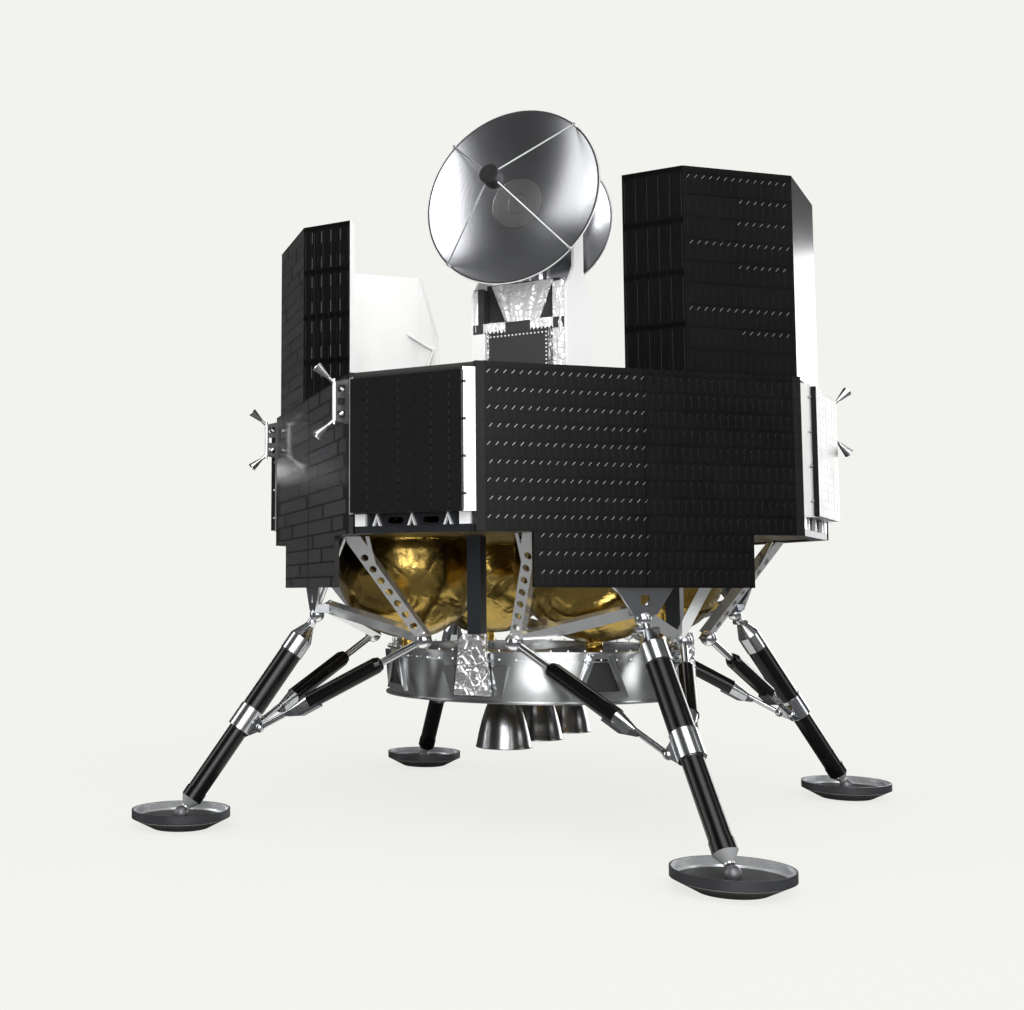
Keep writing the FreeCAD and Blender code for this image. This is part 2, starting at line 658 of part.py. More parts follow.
def lower_frame():
    """Ring beam with flanges top and bottom; its corner webs have oval holes, stiffeners and a ledge."""
    outer = size.panel_thickness
    inner = outer + size.frame_flange
    body = padded("ring_beam", [octagon(outer), octagon(inner)], size.frame_height,
                  base=size.panel_bottom)
    top = size.panel_bottom + size.frame_height - size.flange_thickness
    depth = size.frame_height - size.flange_thickness * 2
    pocket(body, "ring_beam_hollow", top, depth,
           [octagon(outer + size.frame_web), octagon(inner + 1)])
    face = size.corner_out - outer
    middle = size.panel_bottom + size.frame_hole_rise
    end, half = (size.frame_hole_length - size.frame_hole_height) / 2, size.frame_hole_height / 2
    slots = []
    for step in (-0.5, 0.5):
        at = size.frame_hole_pitch * step
        slots.append([(at - end, middle - half), (at + end, middle - half, half * 1.05),
                      (at + end, middle + half), (at - end, middle + half, half * 1.05)])
    base, rotation = facing(45, face - size.frame_web * 2)
    drills = place(padded("frame_slots", slots, size.frame_web * 3), base, rotation)
    drilled = cut("ring_beam_drilled", body, four_round("frame_slots_round", drills))
    low, high = size.panel_bottom + size.frame_lip, size.panel_bottom + size.frame_height
    ends = size.end_block_side + size.end_block_width / 2
    chevrons = [rectangle(ends, size.panel_bottom, low)]
    for side in (-1, 1):
        near = size.end_block_side * side - size.end_block_width / 2
        chevrons.append([(near, low), (near + size.end_block_width, low),
                         (near + size.end_block_width, high), (near, high)])
    for step in (-1, 0, 1):
        at = size.frame_hole_pitch * step
        chevrons.append([
            (at - size.chevron_half_width, low), (at - size.chevron_half_width + size.chevron_leg, low),
            (at, high - size.chevron_leg * 2), (at + size.chevron_half_width - size.chevron_leg, low),
            (at + size.chevron_half_width, low), (at, high)])
    base, rotation = facing(45, face - size.frame_web / 2)
    stiff = place(padded("chevrons", chevrons, size.frame_web / 2 + size.chevron_proud), base, rotation)
    node(fused("lower_frame_whole", [drilled, four_round("chevrons_round", stiff)]), "lower_frame")


def decks():
    inset = size.panel_thickness + size.frame_web
    wells = [((x, y), size.tank_radius + size.fit_gap) for x, y in
             ((size.tank_out, 0), (-size.tank_out, 0), (0, size.tank_out), (0, -size.tank_out))]
    node(padded("tank_deck", [octagon(inset)], size.lower_deck_thickness, wells, size.deck_floor),
         "lower_deck")
    middle = -size.payload_out / SQRT2
    reach = size.payload_pitch / 2
    bolts = [((middle + x * reach, middle + y * reach), size.payload_hole / 2)
             for x in (-1, 1) for y in (-1, 1)]
    node(padded("upper_deck", [octagon(size.panel_thickness)], size.deck_thickness, bolts,
                size.panel_top - size.deck_thickness), "top_deck")


def corner_modules():
    """Equipment boxes that close the four cut corners, and the solar panels on them."""
    thick = size.panel_thickness
    front = size.module_out - thick
    edge_out, edge_side = size.corner_out, size.corner_side
    inner_out = edge_out - thick / SQRT2
    inner_side = edge_side - thick / SQRT2
    half = [
        (front, size.module_half_width), (edge_out, edge_side), (inner_out, inner_side),
        (size.module_out - size.module_depth, size.module_half_width),
    ]
    outline = half + [(x, -y) for x, y in reversed(half)]
    bottom = size.panel_bottom + size.frame_height
    height = size.panel_top - size.deck_thickness - bottom
    body = padded("module", [outline], height, base=bottom)
    body.Placement = FreeCAD.Placement(FreeCAD.Vector(), about_z(45))
    node(four_round("modules", body), "corner_modules")
    plate = padded("module_panel", [rectangle(size.corner_panel_half_width,
                   size.corner_panel_bottom, size.corner_panel_top)], thick)
    base, rotation = facing(45, front)
    place(plate, base, rotation)
    node(four_round("module_panels", plate), "corner_panels")


# ---------------------------------------------------------------- folded screens

def screens():
    """Folded solar screens on two opposite corners of the deck."""
    wall, corner = size.tower_wall, size.face_half_width
    near, far = size.body_apothem - size.panel_thickness, size.body_apothem - size.tower_rear_inset
    back = size.tower_rear_edge
    diagonal = 1 / SQRT2
    # fold points, from the full wing round the corner to the tapered wing
    folds = [
        (size.tower_edge - size.wing_length * diagonal, size.wing_length * diagonal - near),
        (size.tower_edge, -near),
        (corner, -near),
        (far, far - corner - near),
        (far, -back),
        (far - size.gusset_length * diagonal, size.gusset_length * diagonal - back),
    ]
    # inward normals of the five walls
    normals = [(diagonal, diagonal), (0, 1), (-diagonal, diagonal), (-1, 0), (-diagonal, -diagonal)]
    inner = []
    for index, (x, y) in enumerate(folds):
        first, second = normals[max(index - 1, 0)], normals[min(index, len(normals) - 1)]
        share = 1 / (1 + first[0] * second[0] + first[1] * second[1])
        inner.append((x + wall * (first[0] + second[0]) * share,
                      y + wall * (first[1] + second[1]) * share))
    screen = padded("screen", [folds + inner[::-1]], size.tower_height, base=size.panel_top)
    # the tapered wing is cut back by a wedge that leans from its fold to its tip
    start, reach = wall * (SQRT2 - 1), size.gusset_length + wall
    tip_top = size.panel_top + size.gusset_height
    wedge = padded("wedge", [[
        (start, size.tower_top), (size.gusset_length, tip_top), (reach, tip_top),
        (reach, size.tower_top + 1), (start, size.tower_top + 1)]], wall * 4)
    place(wedge, (far - wall * SQRT2, -back - wall * SQRT2, 0), about_z(135).multiply(UPRIGHT))
    tapered = cut("screen_tapered", screen, wedge)
    # two stays meet on the inside of the tapered wing's tip
    along = size.gusset_length - size.stay_radius * 2
    joint = (far - (along + wall) * diagonal, (along - wall) * diagonal - back, tip_top - size.stay_drop)
    on_wall = (far - wall, -back - size.stay_reach, joint[2] + size.stay_lean)
    foot = (far - wall - size.stay_foot_in, -back - size.stay_foot_side,
            size.panel_top + size.stay_radius * 1.5)
    stays = [ball("stay_joint", joint, size.stay_radius * 1.5),
             tube("stay_upper", joint, on_wall, size.stay_radius),
             tube("stay_lower", foot, joint, size.stay_radius),
             cylinder("stay_foot", (foot[0], foot[1], size.panel_top), size.stay_radius * 3,
                      size.stay_radius * 2)]
    right = fused("screen_with_stays", [tapered] + stays)
    node(right, "tower_right")
    node(mirrored("screen_mirrored", right, FreeCAD.Vector(1, -1, 0)), "tower_left")


# ---------------------------------------------------------------- tanks, ring and engines

def tank(name, turn):
    radius = size.tank_radius
    seat = size.tank_seat
    boss = size.boss_radius
    boss_end = size.tank_dome_low - root(radius * radius - boss * boss)
    body = turned("tank_body_" + name, [
        (0, size.ring_top + size.fit_gap), (boss, size.ring_top + size.fit_gap),
        (boss, boss_end, radius), (radius, size.tank_dome_low),
        (radius, seat), (radius + size.tank_flange, seat),
        (radius + size.tank_flange, seat + size.tank_flange_height),
        (radius, seat + size.tank_flange_height),
        (radius, size.tank_dome_high, radius), (0, size.tank_dome_high + radius),
    ])
    angle = math.radians(turn)
    place(body, (size.tank_out * round(math.cos(angle)), size.tank_out * round(math.sin(angle)), 0))
    node(body, "tank_" + name)


def thrust_ring():
    wall_in = size.ring_radius - size.ring_wall
    low, high, thick = size.ring_bottom, size.ring_top, size.ring_flange_thickness
    out, rim_top = size.ring_radius, high - size.ring_rim_drop
    body = turned("ring", [
        (wall_in, low), (out + size.ring_lip, low), (out + size.ring_lip, low + thick),
        (out, low + thick), (out, rim_top - size.ring_rim_thickness),
        (out + size.ring_rim, rim_top - size.ring_rim_thickness), (out + size.ring_rim, rim_top),
        (out, rim_top), (out, high - thick), (out + size.ring_flange, high - thick),
        (out + size.ring_flange, high), (wall_in - size.ring_flange_inner, high),
        (wall_in - size.ring_flange_inner, high - thick), (wall_in, high - thick),
    ])
    doc.recompute()
    half_step = math.pi / number(size.adapter_bolt_count)
    hole = pocket(body, "adapter_hole", low + thick, thick * 2, circles=[
        ((size.adapter_bolt_circle * math.cos(half_step), size.adapter_bolt_circle * math.sin(half_step)),
         size.adapter_bolt_hole / 2)])
    patterned(body, "adapter_holes", [hole], size.adapter_bolt_count)
    fittings = four_round("ring_fittings", fused("ring_fittings_one", ring_bracket() + ring_gussets()))
    node(fused("thrust_ring_whole", [body, fittings]), "thrust_ring")


def ring_bracket():
    """Windowed plate with a fin on each slanted edge, on the ring below a tank."""
    back = size.ring_radius * 0.982
    face = size.ring_radius + size.bracket_proud
    high = size.ring_top - size.ring_flange_thickness / 2
    top, bottom, rail = size.bracket_half_top, size.bracket_half_bottom, size.bracket_rail
    plate = padded("ring_bracket", [
        [(-bottom, size.bracket_bottom), (bottom, size.bracket_bottom), (top, high), (-top, high)],
        [(rail * 1.6 - bottom, size.bracket_bottom + rail),
         (bottom - rail * 1.6, size.bracket_bottom + rail),
         (top - rail, high - rail), (rail - top, high - rail)]], face - back)
    base, rotation = facing(0, back)
    pieces = [place(plate, base, rotation)]
    for side in (-1, 1):
        root_out = face - size.bracket_proud / 5
        low_end = (root_out, (bottom - size.fin_thickness * 2) * side,
                   size.bracket_bottom + size.fin_thickness)
        high_end = (root_out, (top - size.fin_thickness) * side, high - size.ring_flange_thickness)
        reach = span(low_end, high_end)
        fin = padded("ring_fin_%s" % ("l" if side > 0 else "r"),
                     [[(0, 0), (size.fin_depth, reach), (0, reach)]], size.fin_thickness)
        pieces.append(place(fin, low_end, aim(low_end, high_end, (1, 0, 0)).multiply(UPRIGHT)))
    return pieces


def ring_gussets():
    """The two pointed gussets beside a column."""
    pieces = []
    for side in (-1, 1):
        turn = 45 + number(size.gusset_angle) * side
        gusset = doc.addObject("Part::Wedge", "ring_gusset_%s" % ("l" if side > 0 else "r"))
        wide, tip = size.gusset_half_width, size.fin_thickness / 2
        inside = -size.ring_wall / 2
        extents = [("Xmin", -tip), ("Xmax", tip), ("X2min", -wide), ("X2max", wide),
                   ("Ymin", 0), ("Ymax", size.gusset_top - size.gusset_bottom),
                   ("Zmin", inside), ("Zmax", tip), ("Z2min", inside), ("Z2max", size.gusset_depth)]
        for prop, length in extents:
            bind(gusset, prop, length)
        base, rotation = facing(turn, size.ring_radius, height=size.gusset_bottom)
        pieces.append(place(gusset, base, rotation))
    return pieces


def corner_columns():
    """Square posts from the lower deck down to feet that straddle the thrust ring."""
    half = size.column_width / 2
    outside = size.ring_radius + size.ring_flange + size.fit_gap
    inside = size.column_out - half
    top = size.deck_floor
    post = padded("post", [[
        (inside, size.column_foot_top), (size.column_out + half, size.column_foot_top),
        (size.column_out + half, top), (inside, top)]], size.column_width)
    place(post, (0, half, 0), UPRIGHT)
    wide, flare, corner = size.column_foot_width / 2, size.column_foot_flare / 2, size.column_foot_corner
    cheek = padded("post_cheek", [[
        (-flare, size.column_foot_bottom), (flare, size.column_foot_bottom),
        (wide, size.column_foot_top - corner), (wide - corner, size.column_foot_top),
        (corner - wide, size.column_foot_top), (-wide, size.column_foot_top - corner)]], size.column_cheek)
    base, rotation = facing(0, outside)
    place(cheek, base, rotation)
    saddle = box("post_saddle", (inside, corner - wide, size.ring_top),
                 (outside - inside + size.column_cheek / 2, (wide - corner) * 2,
                  size.column_foot_top - size.ring_top))
    column = fused("column", [post, cheek, saddle])
    column.Placement = FreeCAD.Placement(FreeCAD.Vector(), about_z(45))
    node(four_round("columns", column), "corner_columns")


def engine_mount():
    """Two crossed beams inside the thrust ring; the engines hang from one of them."""
    reach = size.ring_radius
    beams = [box("engine_beam_%d" % turn, (-reach * c + size.beam_width / 2 * s,
                                           -reach * s - size.beam_width / 2 * c, size.beam_bottom),
                 (reach * 2, size.beam_width, size.beam_height), about_z(turn))
             for turn, c, s in ((45, 1 / SQRT2, 1 / SQRT2), (-45, 1 / SQRT2, -1 / SQRT2))]
    inside = cylinder("ring_inside", (0, 0, size.ring_bottom), size.ring_radius - size.ring_wall,
                      size.ring_height)
    node(common("engine_mount_trimmed", fused("engine_beams", beams), inside), "engine_mount")


def engine(name, step):
    wall = size.engine_wall
    throat, arc = size.engine_throat_radius, size.engine_bell_arc
    body = turned("engine_" + name, [
        (0, size.engine_throat_height + size.engine_throat_radius / 2),
        (throat - wall, size.engine_throat_height, -arc),
        (size.engine_exit_radius - wall, size.engine_exit_height),
        (size.engine_exit_radius, size.engine_exit_height, arc + wall),
        (throat, size.engine_throat_height),
        (size.engine_chamber_radius, size.engine_head_bottom - size.engine_throat_radius / 2),
        (size.engine_chamber_radius, size.engine_head_bottom),
        (size.engine_head_radius, size.engine_head_bottom),
        (size.engine_head_radius, size.beam_bottom), (0, size.beam_bottom),
    ])
    offset = size.engine_spacing * (step / SQRT2)
    node(place(body, (offset, offset, 0)), "engine_bell_" + name)


# ---------------------------------------------------------------- legs
# A leg is drawn pointing along +X and is turned to its side as a whole.

JOINT = (size.joint_out, as_length(0), size.joint_height)
FOOT = (size.foot_out, as_length(0), size.foot_joint_height)


def lower_node(side):
    return (size.node_out, size.node_side * side, size.node_height)


def brace_lug(side):
    """Centre of the ball that a brace's outer end is held by."""
    reach = span(JOINT, FOOT)
    share = size.collar_middle / reach
    middle = along_line(JOINT, FOOT, share)
    out, down = (FOOT[0] - JOINT[0]) / reach, (JOINT[2] - FOOT[2]) / reach
    return (middle[0] - size.lug_in * down, size.lug_side * side, middle[2] - size.lug_in * out)


def channel(name, start, end, web, flange, wall, side, holes=()):
    """Folded channel between two points; its web faces side."""
    half = web / 2
    outline = [
        (0, -half), (0, half), (-flange, half), (-flange, half - wall), (-wall, half - wall),
        (-wall, wall - half), (-flange, wall - half), (-flange, -half),
    ]
    body = padded(name, [outline], span(start, end))
    rotation = aim(start, end, side)
    place(body, start, rotation)
    if not holes:
        return body
    drills = []
    for index, height in enumerate(holes):
        drill = cylinder("%s_hole_%d" % (name, index), (-wall * 2, 0, height), size.outrigger_hole,
                         wall * 4, FreeCAD.Rotation(FreeCAD.Vector(0, 1, 0), 90))
        drills.append(drill)
    tool = grouped(name + "_holes", drills)
    place(tool, start, rotation)
    return cut(name + "_drilled", body, tool)


def fishplate(name, start, end, facing_side, side):
    """Three-cornered plate with a window that widens the web at the top of an outrigger."""
    reach = span(start, end)
    wide, rim = size.fishplate_width * side, size.fishplate_rim * side
    web = size.outrigger_web / 2 * side
    low = reach - size.fishplate_length
    outline = [(web, low), (web + wide, reach), (web, reach)]
    window = [(web + rim, low + size.fishplate_length * 0.5),
              (web + wide - rim * 1.6, reach - size.fishplate_rim),
              (web + rim, reach - size.fishplate_rim)]
    if side < 0:
        outline.reverse()
        window.reverse()
    plate = padded(name, [outline, window], size.outrigger_wall)
    # the outline lies beside the web: X across it, Y along the outrigger
    lay = FreeCAD.Rotation(FreeCAD.Vector(1, 1, 1), 120)
    turning = aim(start, end, facing_side)
    plate.Placement = FreeCAD.Placement(
        vector(start) - turning.multVec(FreeCAD.Vector(number(size.outrigger_wall), 0, 0)),
        turning.multiply(lay))
    return plate


def leg_frame(name, turn):
    """Welded frame of one leg: hanger, upper ball, crossbeams, lower nodes and outriggers."""
    pieces = [ball("joint_ball_" + name, JOINT, size.joint_ball)]
    plate_in = size.body_apothem - size.panel_thickness - size.hanger_thickness
    low = size.joint_height + size.joint_ball * 0.5
    window = size.hanger_window / 2
    middle = (size.hanger_top + low) / 2 - window
    plate = padded("hanger_" + name, [
        [(-size.hanger_half_bottom, low), (size.hanger_half_bottom, low),
         (size.hanger_half_top, size.skirt_bottom), (size.hanger_half_top, size.hanger_top),
         (-size.hanger_half_top, size.hanger_top), (-size.hanger_half_top, size.skirt_bottom)],
        rectangle(window, middle - window, middle + window)], size.hanger_thickness)
    base, rotation = facing(0, plate_in)
    pieces.append(place(plate, base, rotation))
    block = size.joint_ball * 1.1
    corner = (JOINT[0] - block * 1.3, -block, JOINT[2] + size.joint_ball * 0.3)
    pieces.append(box("joint_block_" + name, corner,
                      (plate_in + size.hanger_thickness - corner[0], block * 2, block)))
    for side, hand in ((1, "l"), (-1, "r")):
        tag = "%s_%s" % (name, hand)
        foot = lower_node(side)
        top = (size.outrigger_out, size.outrigger_side * side, size.panel_bottom)
        pieces.append(ball("node_ball_" + tag, foot, size.node_ball))
        heel = (JOINT[0] - block, JOINT[1], JOINT[2] + block * 0.8)
        pieces.append(channel("crossbeam_" + tag, heel, foot, size.crossbeam_width,
                              size.crossbeam_width * 0.8, size.crossbeam_wall, (0.3, side, -0.6)))
        reach = span(foot, top)
        count = 7
        holes = [size.outrigger_start + size.outrigger_pitch * step for step in range(count)]
        beyond = along_line(foot, top, 1 + size.outrigger_web / reach)
        pieces.append(channel("outrigger_" + tag, foot, beyond, size.outrigger_web,
                              size.outrigger_flange, size.outrigger_wall, (0.55, side * 0.8, -0.3),
                              holes))
        pieces.append(fishplate("fishplate_" + tag, foot, top, (0.55, side * 0.8, -0.3), side))
        v_foot = (JOINT[0] - size.v_strut_radius / 2, JOINT[1], JOINT[2] + block)
        v_top = (size.outrigger_out, size.outrigger_side * side * 0.9,
                 size.panel_bottom + size.v_strut_radius * 2)
        pieces.append(tube("v_strut_" + tag, v_foot, v_top, size.v_strut_radius))
    whole = fused("leg_frame_whole_" + name, pieces)
    above = box("above_frame_" + name, (0, -size.body_apothem, size.panel_bottom),
                (size.foot_out, size.body_apothem * 2, size.frame_height * 4))
    trimmed = cut("leg_frame_trimmed_" + name, whole, above)
    trimmed.Placement = FreeCAD.Placement(FreeCAD.Vector(), about_z(turn))
    node(trimmed, "leg_frame_" + name)


def leg_strut(name, turn):
    """Main strut: capped upper tube, collar with two lugs, sliding lower tube."""
    reach = span(JOINT, FOOT)
    collar_start = size.collar_middle - size.collar_length / 2
    collar_end = collar_start + size.collar_length
    end = reach - size.foot_ball - size.fit_gap
    sleeve, sleeve_out = reach - size.strut_sleeve, size.strut_lower_radius + size.strut_sleeve_step
    body = turned("strut_" + name, [
        (0, size.joint_ball + size.fit_gap), (size.strut_neck_radius, size.joint_ball + size.fit_gap),
        (size.strut_neck_radius, size.strut_neck_end), (size.strut_cap_radius, size.strut_cone_end),
        (size.strut_cap_radius, size.strut_cap_end), (size.strut_upper_radius, size.strut_cap_end),
        (size.strut_upper_radius, collar_start), (size.collar_radius, collar_start),
        (size.collar_radius, collar_end), (size.strut_lower_radius, collar_end),
        (size.strut_lower_radius, sleeve - size.strut_lower_radius),
        (sleeve_out, sleeve - size.strut_lower_radius), (sleeve_out, sleeve),
        (size.strut_neck_radius, end - size.strut_sleeve_step * 2),
        (size.strut_neck_radius, end), (0, end),
    ])
    place(body, JOINT, aim(JOINT, FOOT))
    across = size.neck_pin_half
    spot = along_line(JOINT, FOOT, size.neck_pin_along / reach)
    pieces = [body, tube("neck_pin_" + name, (spot[0], -across, spot[2]), (spot[0], across, spot[2]),
                         size.neck_pin)]
    middle = along_line(JOINT, FOOT, size.collar_middle / reach)
    lug_out = root(size.lug_in * size.lug_in + size.lug_side * size.lug_side)
    half_tip, inner = size.lug_tip / 2, size.strut_lower_radius * 0.8
    for side, hand in ((1, "l"), (-1, "r")):
        tag = "%s_%s" % (name, hand)
        plate = padded("lug_" + tag, [[
            (inner, -size.collar_length / 2), (lug_out, -half_tip), (lug_out, half_tip),
            (inner, size.lug_tail)]], size.lug_plate)
        turning = aim(JOINT, FOOT, vector(brace_lug(side)) - vector(middle))
        shift = turning.multVec(FreeCAD.Vector(0, number(size.lug_plate) / 2, 0))
        plate.Placement = FreeCAD.Placement(vector(middle) + shift, turning.multiply(UPRIGHT))
        pieces.append(plate)
        pieces.append(ball("lug_ball_" + tag, brace_lug(side), size.lug_ball))
    whole = fused("strut_whole_" + name, pieces)
    whole.Placement = FreeCAD.Placement(FreeCAD.Vector(), about_z(turn))
    node(whole, "leg_strut_" + name)


def leg_braces(name, turn):
    """The two side braces of a leg, from its lower nodes to the collar."""
    braces = []
    for side, hand in ((1, "l"), (-1, "r")):
        start, end = lower_node(side), brace_lug(side)
        reach = span(start, end)
        dome = size.brace_rod_end + size.brace_dome
        body = turned("brace_%s_%s" % (name, hand), [
            (0, size.node_ball + size.fit_gap), (size.brace_rod, size.node_ball + size.fit_gap),
            (size.brace_rod, size.brace_rod_end),
            (size.brace_tube * 0.8, size.brace_rod_end + size.brace_dome_step),
            (size.brace_tube, dome), (size.brace_tube, size.brace_tube_end),
            (size.brace_tube * 0.9, size.brace_tube_end), (size.brace_rod * 0.8, size.brace_cone_end),
            (size.brace_rod * 0.8, reach - size.lug_ball - size.fit_gap),
            (0, reach - size.lug_ball - size.fit_gap),
        ])
        place(body, start, aim(start, end))
        drop, rod = size.guard_drop, size.brace_rod * 0.8
        guard = padded("guard_%s_%s" % (name, hand), [[
            (0, size.brace_tube_end - drop), (drop, size.brace_tube_end - drop),
            (drop, size.brace_cone_end - drop), (rod, size.brace_cone_end + rod * 2),
            (0, size.brace_cone_end + rod * 2)]], size.guard_width)
        turning = aim(start, end, (0.3, 0, -1))
        shift = turning.multVec(FreeCAD.Vector(0, number(size.guard_width) / 2, 0))
        guard.Placement = FreeCAD.Placement(vector(start) + shift, turning.multiply(UPRIGHT))
        braces.append(fused("brace_whole_%s_%s" % (name, hand), [body, guard]))
    pair = grouped("braces_" + name, braces)
    pair.Placement = FreeCAD.Placement(FreeCAD.Vector(), about_z(turn))
    node(pair, "leg_braces_" + name)


def foot_pad(name, turn):
    """Dished foot with the ball of the ankle joint on a post."""
    wall, rim = size.pad_wall, size.pad_radius
    cone_top = size.pad_height - size.pad_band
    post, centre, radius = size.pad_post, size.foot_joint_height, size.foot_ball
    drop = root(radius * radius - post * post)
    body = turned("pad_" + name, [
        (0, 0), (size.pad_floor, 0), (rim, cone_top), (rim, size.pad_height),
        (rim - wall, size.pad_height), (rim - wall, cone_top + wall / 2),
        (size.pad_floor - wall / 2, wall), (post, wall), (post, centre - drop, radius),
        (radius, centre, radius), (0, centre + radius),
    ])
    doc.recompute()
    fin_sketch = new_sketch(body, "pad_fin_outline_" + name, -size.pad_fin_thickness / 2, "XZ_Plane")
    add_outline(fin_sketch, [(post / 2, wall / 2), (size.pad_fin, wall / 2),
                             (post / 2, size.pad_fin_height)])
    fin = body.newObject("PartDesign::Pad", "pad_fin_" + name)
    fin.Profile = fin_sketch
    bind(fin, "Length", size.pad_fin_thickness)
    patterned(body, "pad_fins_" + name, [fin], 4)
    angle = math.radians(turn)
    base = (size.foot_out * round(math.cos(angle)), size.foot_out * round(math.sin(angle)), 0)
    node(place(body, base, about_z(45)), "foot_pad_" + name)


# ---------------------------------------------------------------- thruster pods

def thruster_pod(name, turn, side):
    """Bracket on a side face with one thruster tilted up and one tilted down."""
    half_base, half_tip, depth = size.pod_base / 2, size.pod_tip / 2, size.pod_depth
    slot, rim, stem = size.pod_slot, size.pod_rod * 1.6, size.nozzle_stem_radius
    bracket = padded("pod_bracket_" + name, [
        [(0, -half_base), (depth, -half_tip), (depth, half_tip), (0, half_base)],
        [(rim, half_tip - rim - slot), (depth - rim, half_tip - rim - slot),
         (depth - rim, half_tip - rim), (rim, half_tip - rim)],
        [(rim, -slot / 2), (depth - rim, -slot / 2), (depth - rim, slot / 2), (rim, slot / 2)],
        [(rim, rim - half_tip), (depth - rim, rim - half_tip),
         (depth - rim, rim + slot - half_tip), (rim, rim + slot - half_tip)]], size.pod_width)
    place(bracket, (0, size.pod_width / 2, 0), UPRIGHT)
    pieces = [bracket, cylinder("pod_rod_" + name, (depth, 0, -half_base), size.pod_rod, size.pod_base)]
    for sign, label in ((1, "up"), (-1, "down")):
        nozzle = turned("nozzle_%s_%s" % (label, name), [
            (0, 0), (stem * 1.6, 0), (stem * 1.6, size.nozzle_stem * 0.2),
            (stem, size.nozzle_stem * 0.25), (stem, size.nozzle_stem),
            (size.nozzle_mouth, size.nozzle_length),
            (size.nozzle_mouth - size.nozzle_wall, size.nozzle_length),
            (stem - size.nozzle_wall * 2, size.nozzle_stem + size.nozzle_floor),
            (0, size.nozzle_stem + size.nozzle_floor),
        ])
        tilt = number(size.nozzle_angle) * sign
        turning = FreeCAD.Rotation(FreeCAD.Vector(0, 1, 0), 90 - tilt)
        place(nozzle, (size.nozzle_root, 0, size.nozzle_offset * sign), turning)
        pieces.append(nozzle)
    whole = fused("pod_whole_" + name, pieces)
    angle = math.radians(turn)
    base = (size.body_apothem * round(math.cos(angle)), size.pod_side * side, size.pod_height)
    node(place(whole, base, about_z(turn)), "thruster_pod_" + name)


# ---------------------------------------------------------------- mast and dishes
# The mast is drawn square to the axes, its front along -Y, and turned to the front left corner.

MAST_TURN = about_z(-45)


def mast():
    half, deep = size.mast_half_width, size.mast_half_depth
    trunk = box("mast_trunk", (-half, -deep, size.panel_top),
                (half * 2, deep * 2, size.mast_top - size.panel_top))
    ledge = box("mast_ledge", (-half, -deep - size.ledge_over, size.mast_top),
                (half * 2, (deep + size.ledge_over) * 2, size.ledge_height))
    pedestal = box("mast_pedestal",
                   (-size.pedestal_half_width, -size.pedestal_half_depth, size.pedestal_foot),
                   (size.pedestal_half_width * 2, size.pedestal_half_depth * 2, size.pedestal_height))
    pieces = [trunk, ledge, pedestal]
    for index, (x, y) in enumerate(((-1, -1), (1, -1), (1, 1), (-1, 1))):
        corner = (half - size.mast_post_width if x > 0 else -half,
                  deep - size.mast_post_depth if y > 0 else -deep, size.mast_top)
        pieces.append(box("mast_post_%d" % index, corner,
                          (size.mast_post_width, size.mast_post_depth,
                           size.mast_post_top - size.mast_top)))
    cover = size.mast_cover_half
    pieces.append(box("mast_cover", (-cover, -deep - size.mast_cover_thickness, size.mast_cover_bottom),
                      (cover * 2, size.mast_cover_thickness * 2, size.mast_top - size.mast_cover_bottom)))
    unit_corner = (-half, -deep - size.mast_unit_depth, size.mast_top - size.mast_unit_height)
    pieces.append(box("mast_unit", unit_corner,
                      (size.mast_unit_width, size.mast_unit_depth * 2, size.mast_unit_height)))
    whole = fused("mast_whole", pieces)
    whole.Placement = FreeCAD.Placement(FreeCAD.Vector(), MAST_TURN)
    node(whole, "mast_box")
    plates = []
    for side in (-1, 1):
        plate = padded("mast_plate_%s" % ("left" if side < 0 else "right"), [[
            (-deep, size.panel_top), (deep, size.panel_top), (deep, size.plate_shoulder),
            (size.plate_neck_half, size.plate_neck), (size.plate_neck_half, size.plate_top),
            (-size.plate_neck_half, size.plate_top), (-size.plate_neck_half, size.plate_neck),
            (-deep, size.plate_shoulder)]], size.plate_thickness)
        # upright, facing +X, its inner face against the trunk
        base, rotation = facing(0, half if side > 0 else -half - size.plate_thickness)
        plates.append(place(plate, base, rotation))
    pair = grouped("mast_plates_pair", plates)
    pair.Placement = FreeCAD.Placement(FreeCAD.Vector(), MAST_TURN)
    node(pair, "mast_plates")
    supports = []
    for side in (-1, 1):
        support = padded("gimbal_support_%s" % ("front" if side < 0 else "rear"), [[
            (-size.support_half_bottom, size.pedestal_foot), (size.support_half_bottom, size.pedestal_foot),
            (size.support_half_top, size.support_top), (-size.support_half_top, size.support_top)]],
            size.support_depth)
        front = -size.pedestal_half_depth if side < 0 else size.pedestal_half_depth + size.support_depth
        supports.append(place(support, (as_length(0), front, as_length(0)), UPRIGHT))
    both = grouped("gimbal_supports_pair", supports)
    both.Placement = FreeCAD.Placement(FreeCAD.Vector(), MAST_TURN)
    node(both, "gimbal_supports")


def yoke(name, turn):
    """Turntable and fork of one dish, drawn with the dish towards +X."""
    low = size.pedestal_top + size.fit_gap
    reach = size.fork_half_gap + size.fork_arm
    pieces = [cylinder("turntable_" + name, (0, 0, low), size.turntable_radius, size.turntable_thickness),
              box("fork_bar_" + name, (-size.fork_half_depth, -reach, low),
                  (size.fork_half_depth * 2, reach * 2, size.turntable_thickness))]
    for side in (-1, 1):
        inner = size.fork_half_gap if side > 0 else -size.fork_half_gap - size.fork_arm
        pieces.append(box("fork_%s_%s" % (name, "l" if side > 0 else "r"),
                          (-size.fork_half_depth, inner, low),
                          (size.fork_half_depth * 2, size.fork_arm,
                           size.pivot_height + size.fork_over - low)))
    whole = fused("yoke_whole_" + name, pieces)
    angle = math.radians(turn)
    base = (size.pivot_out * math.cos(angle), size.pivot_out * math.sin(angle), 0)
    node(place(whole, base, about_z(turn)), name + "_yoke")


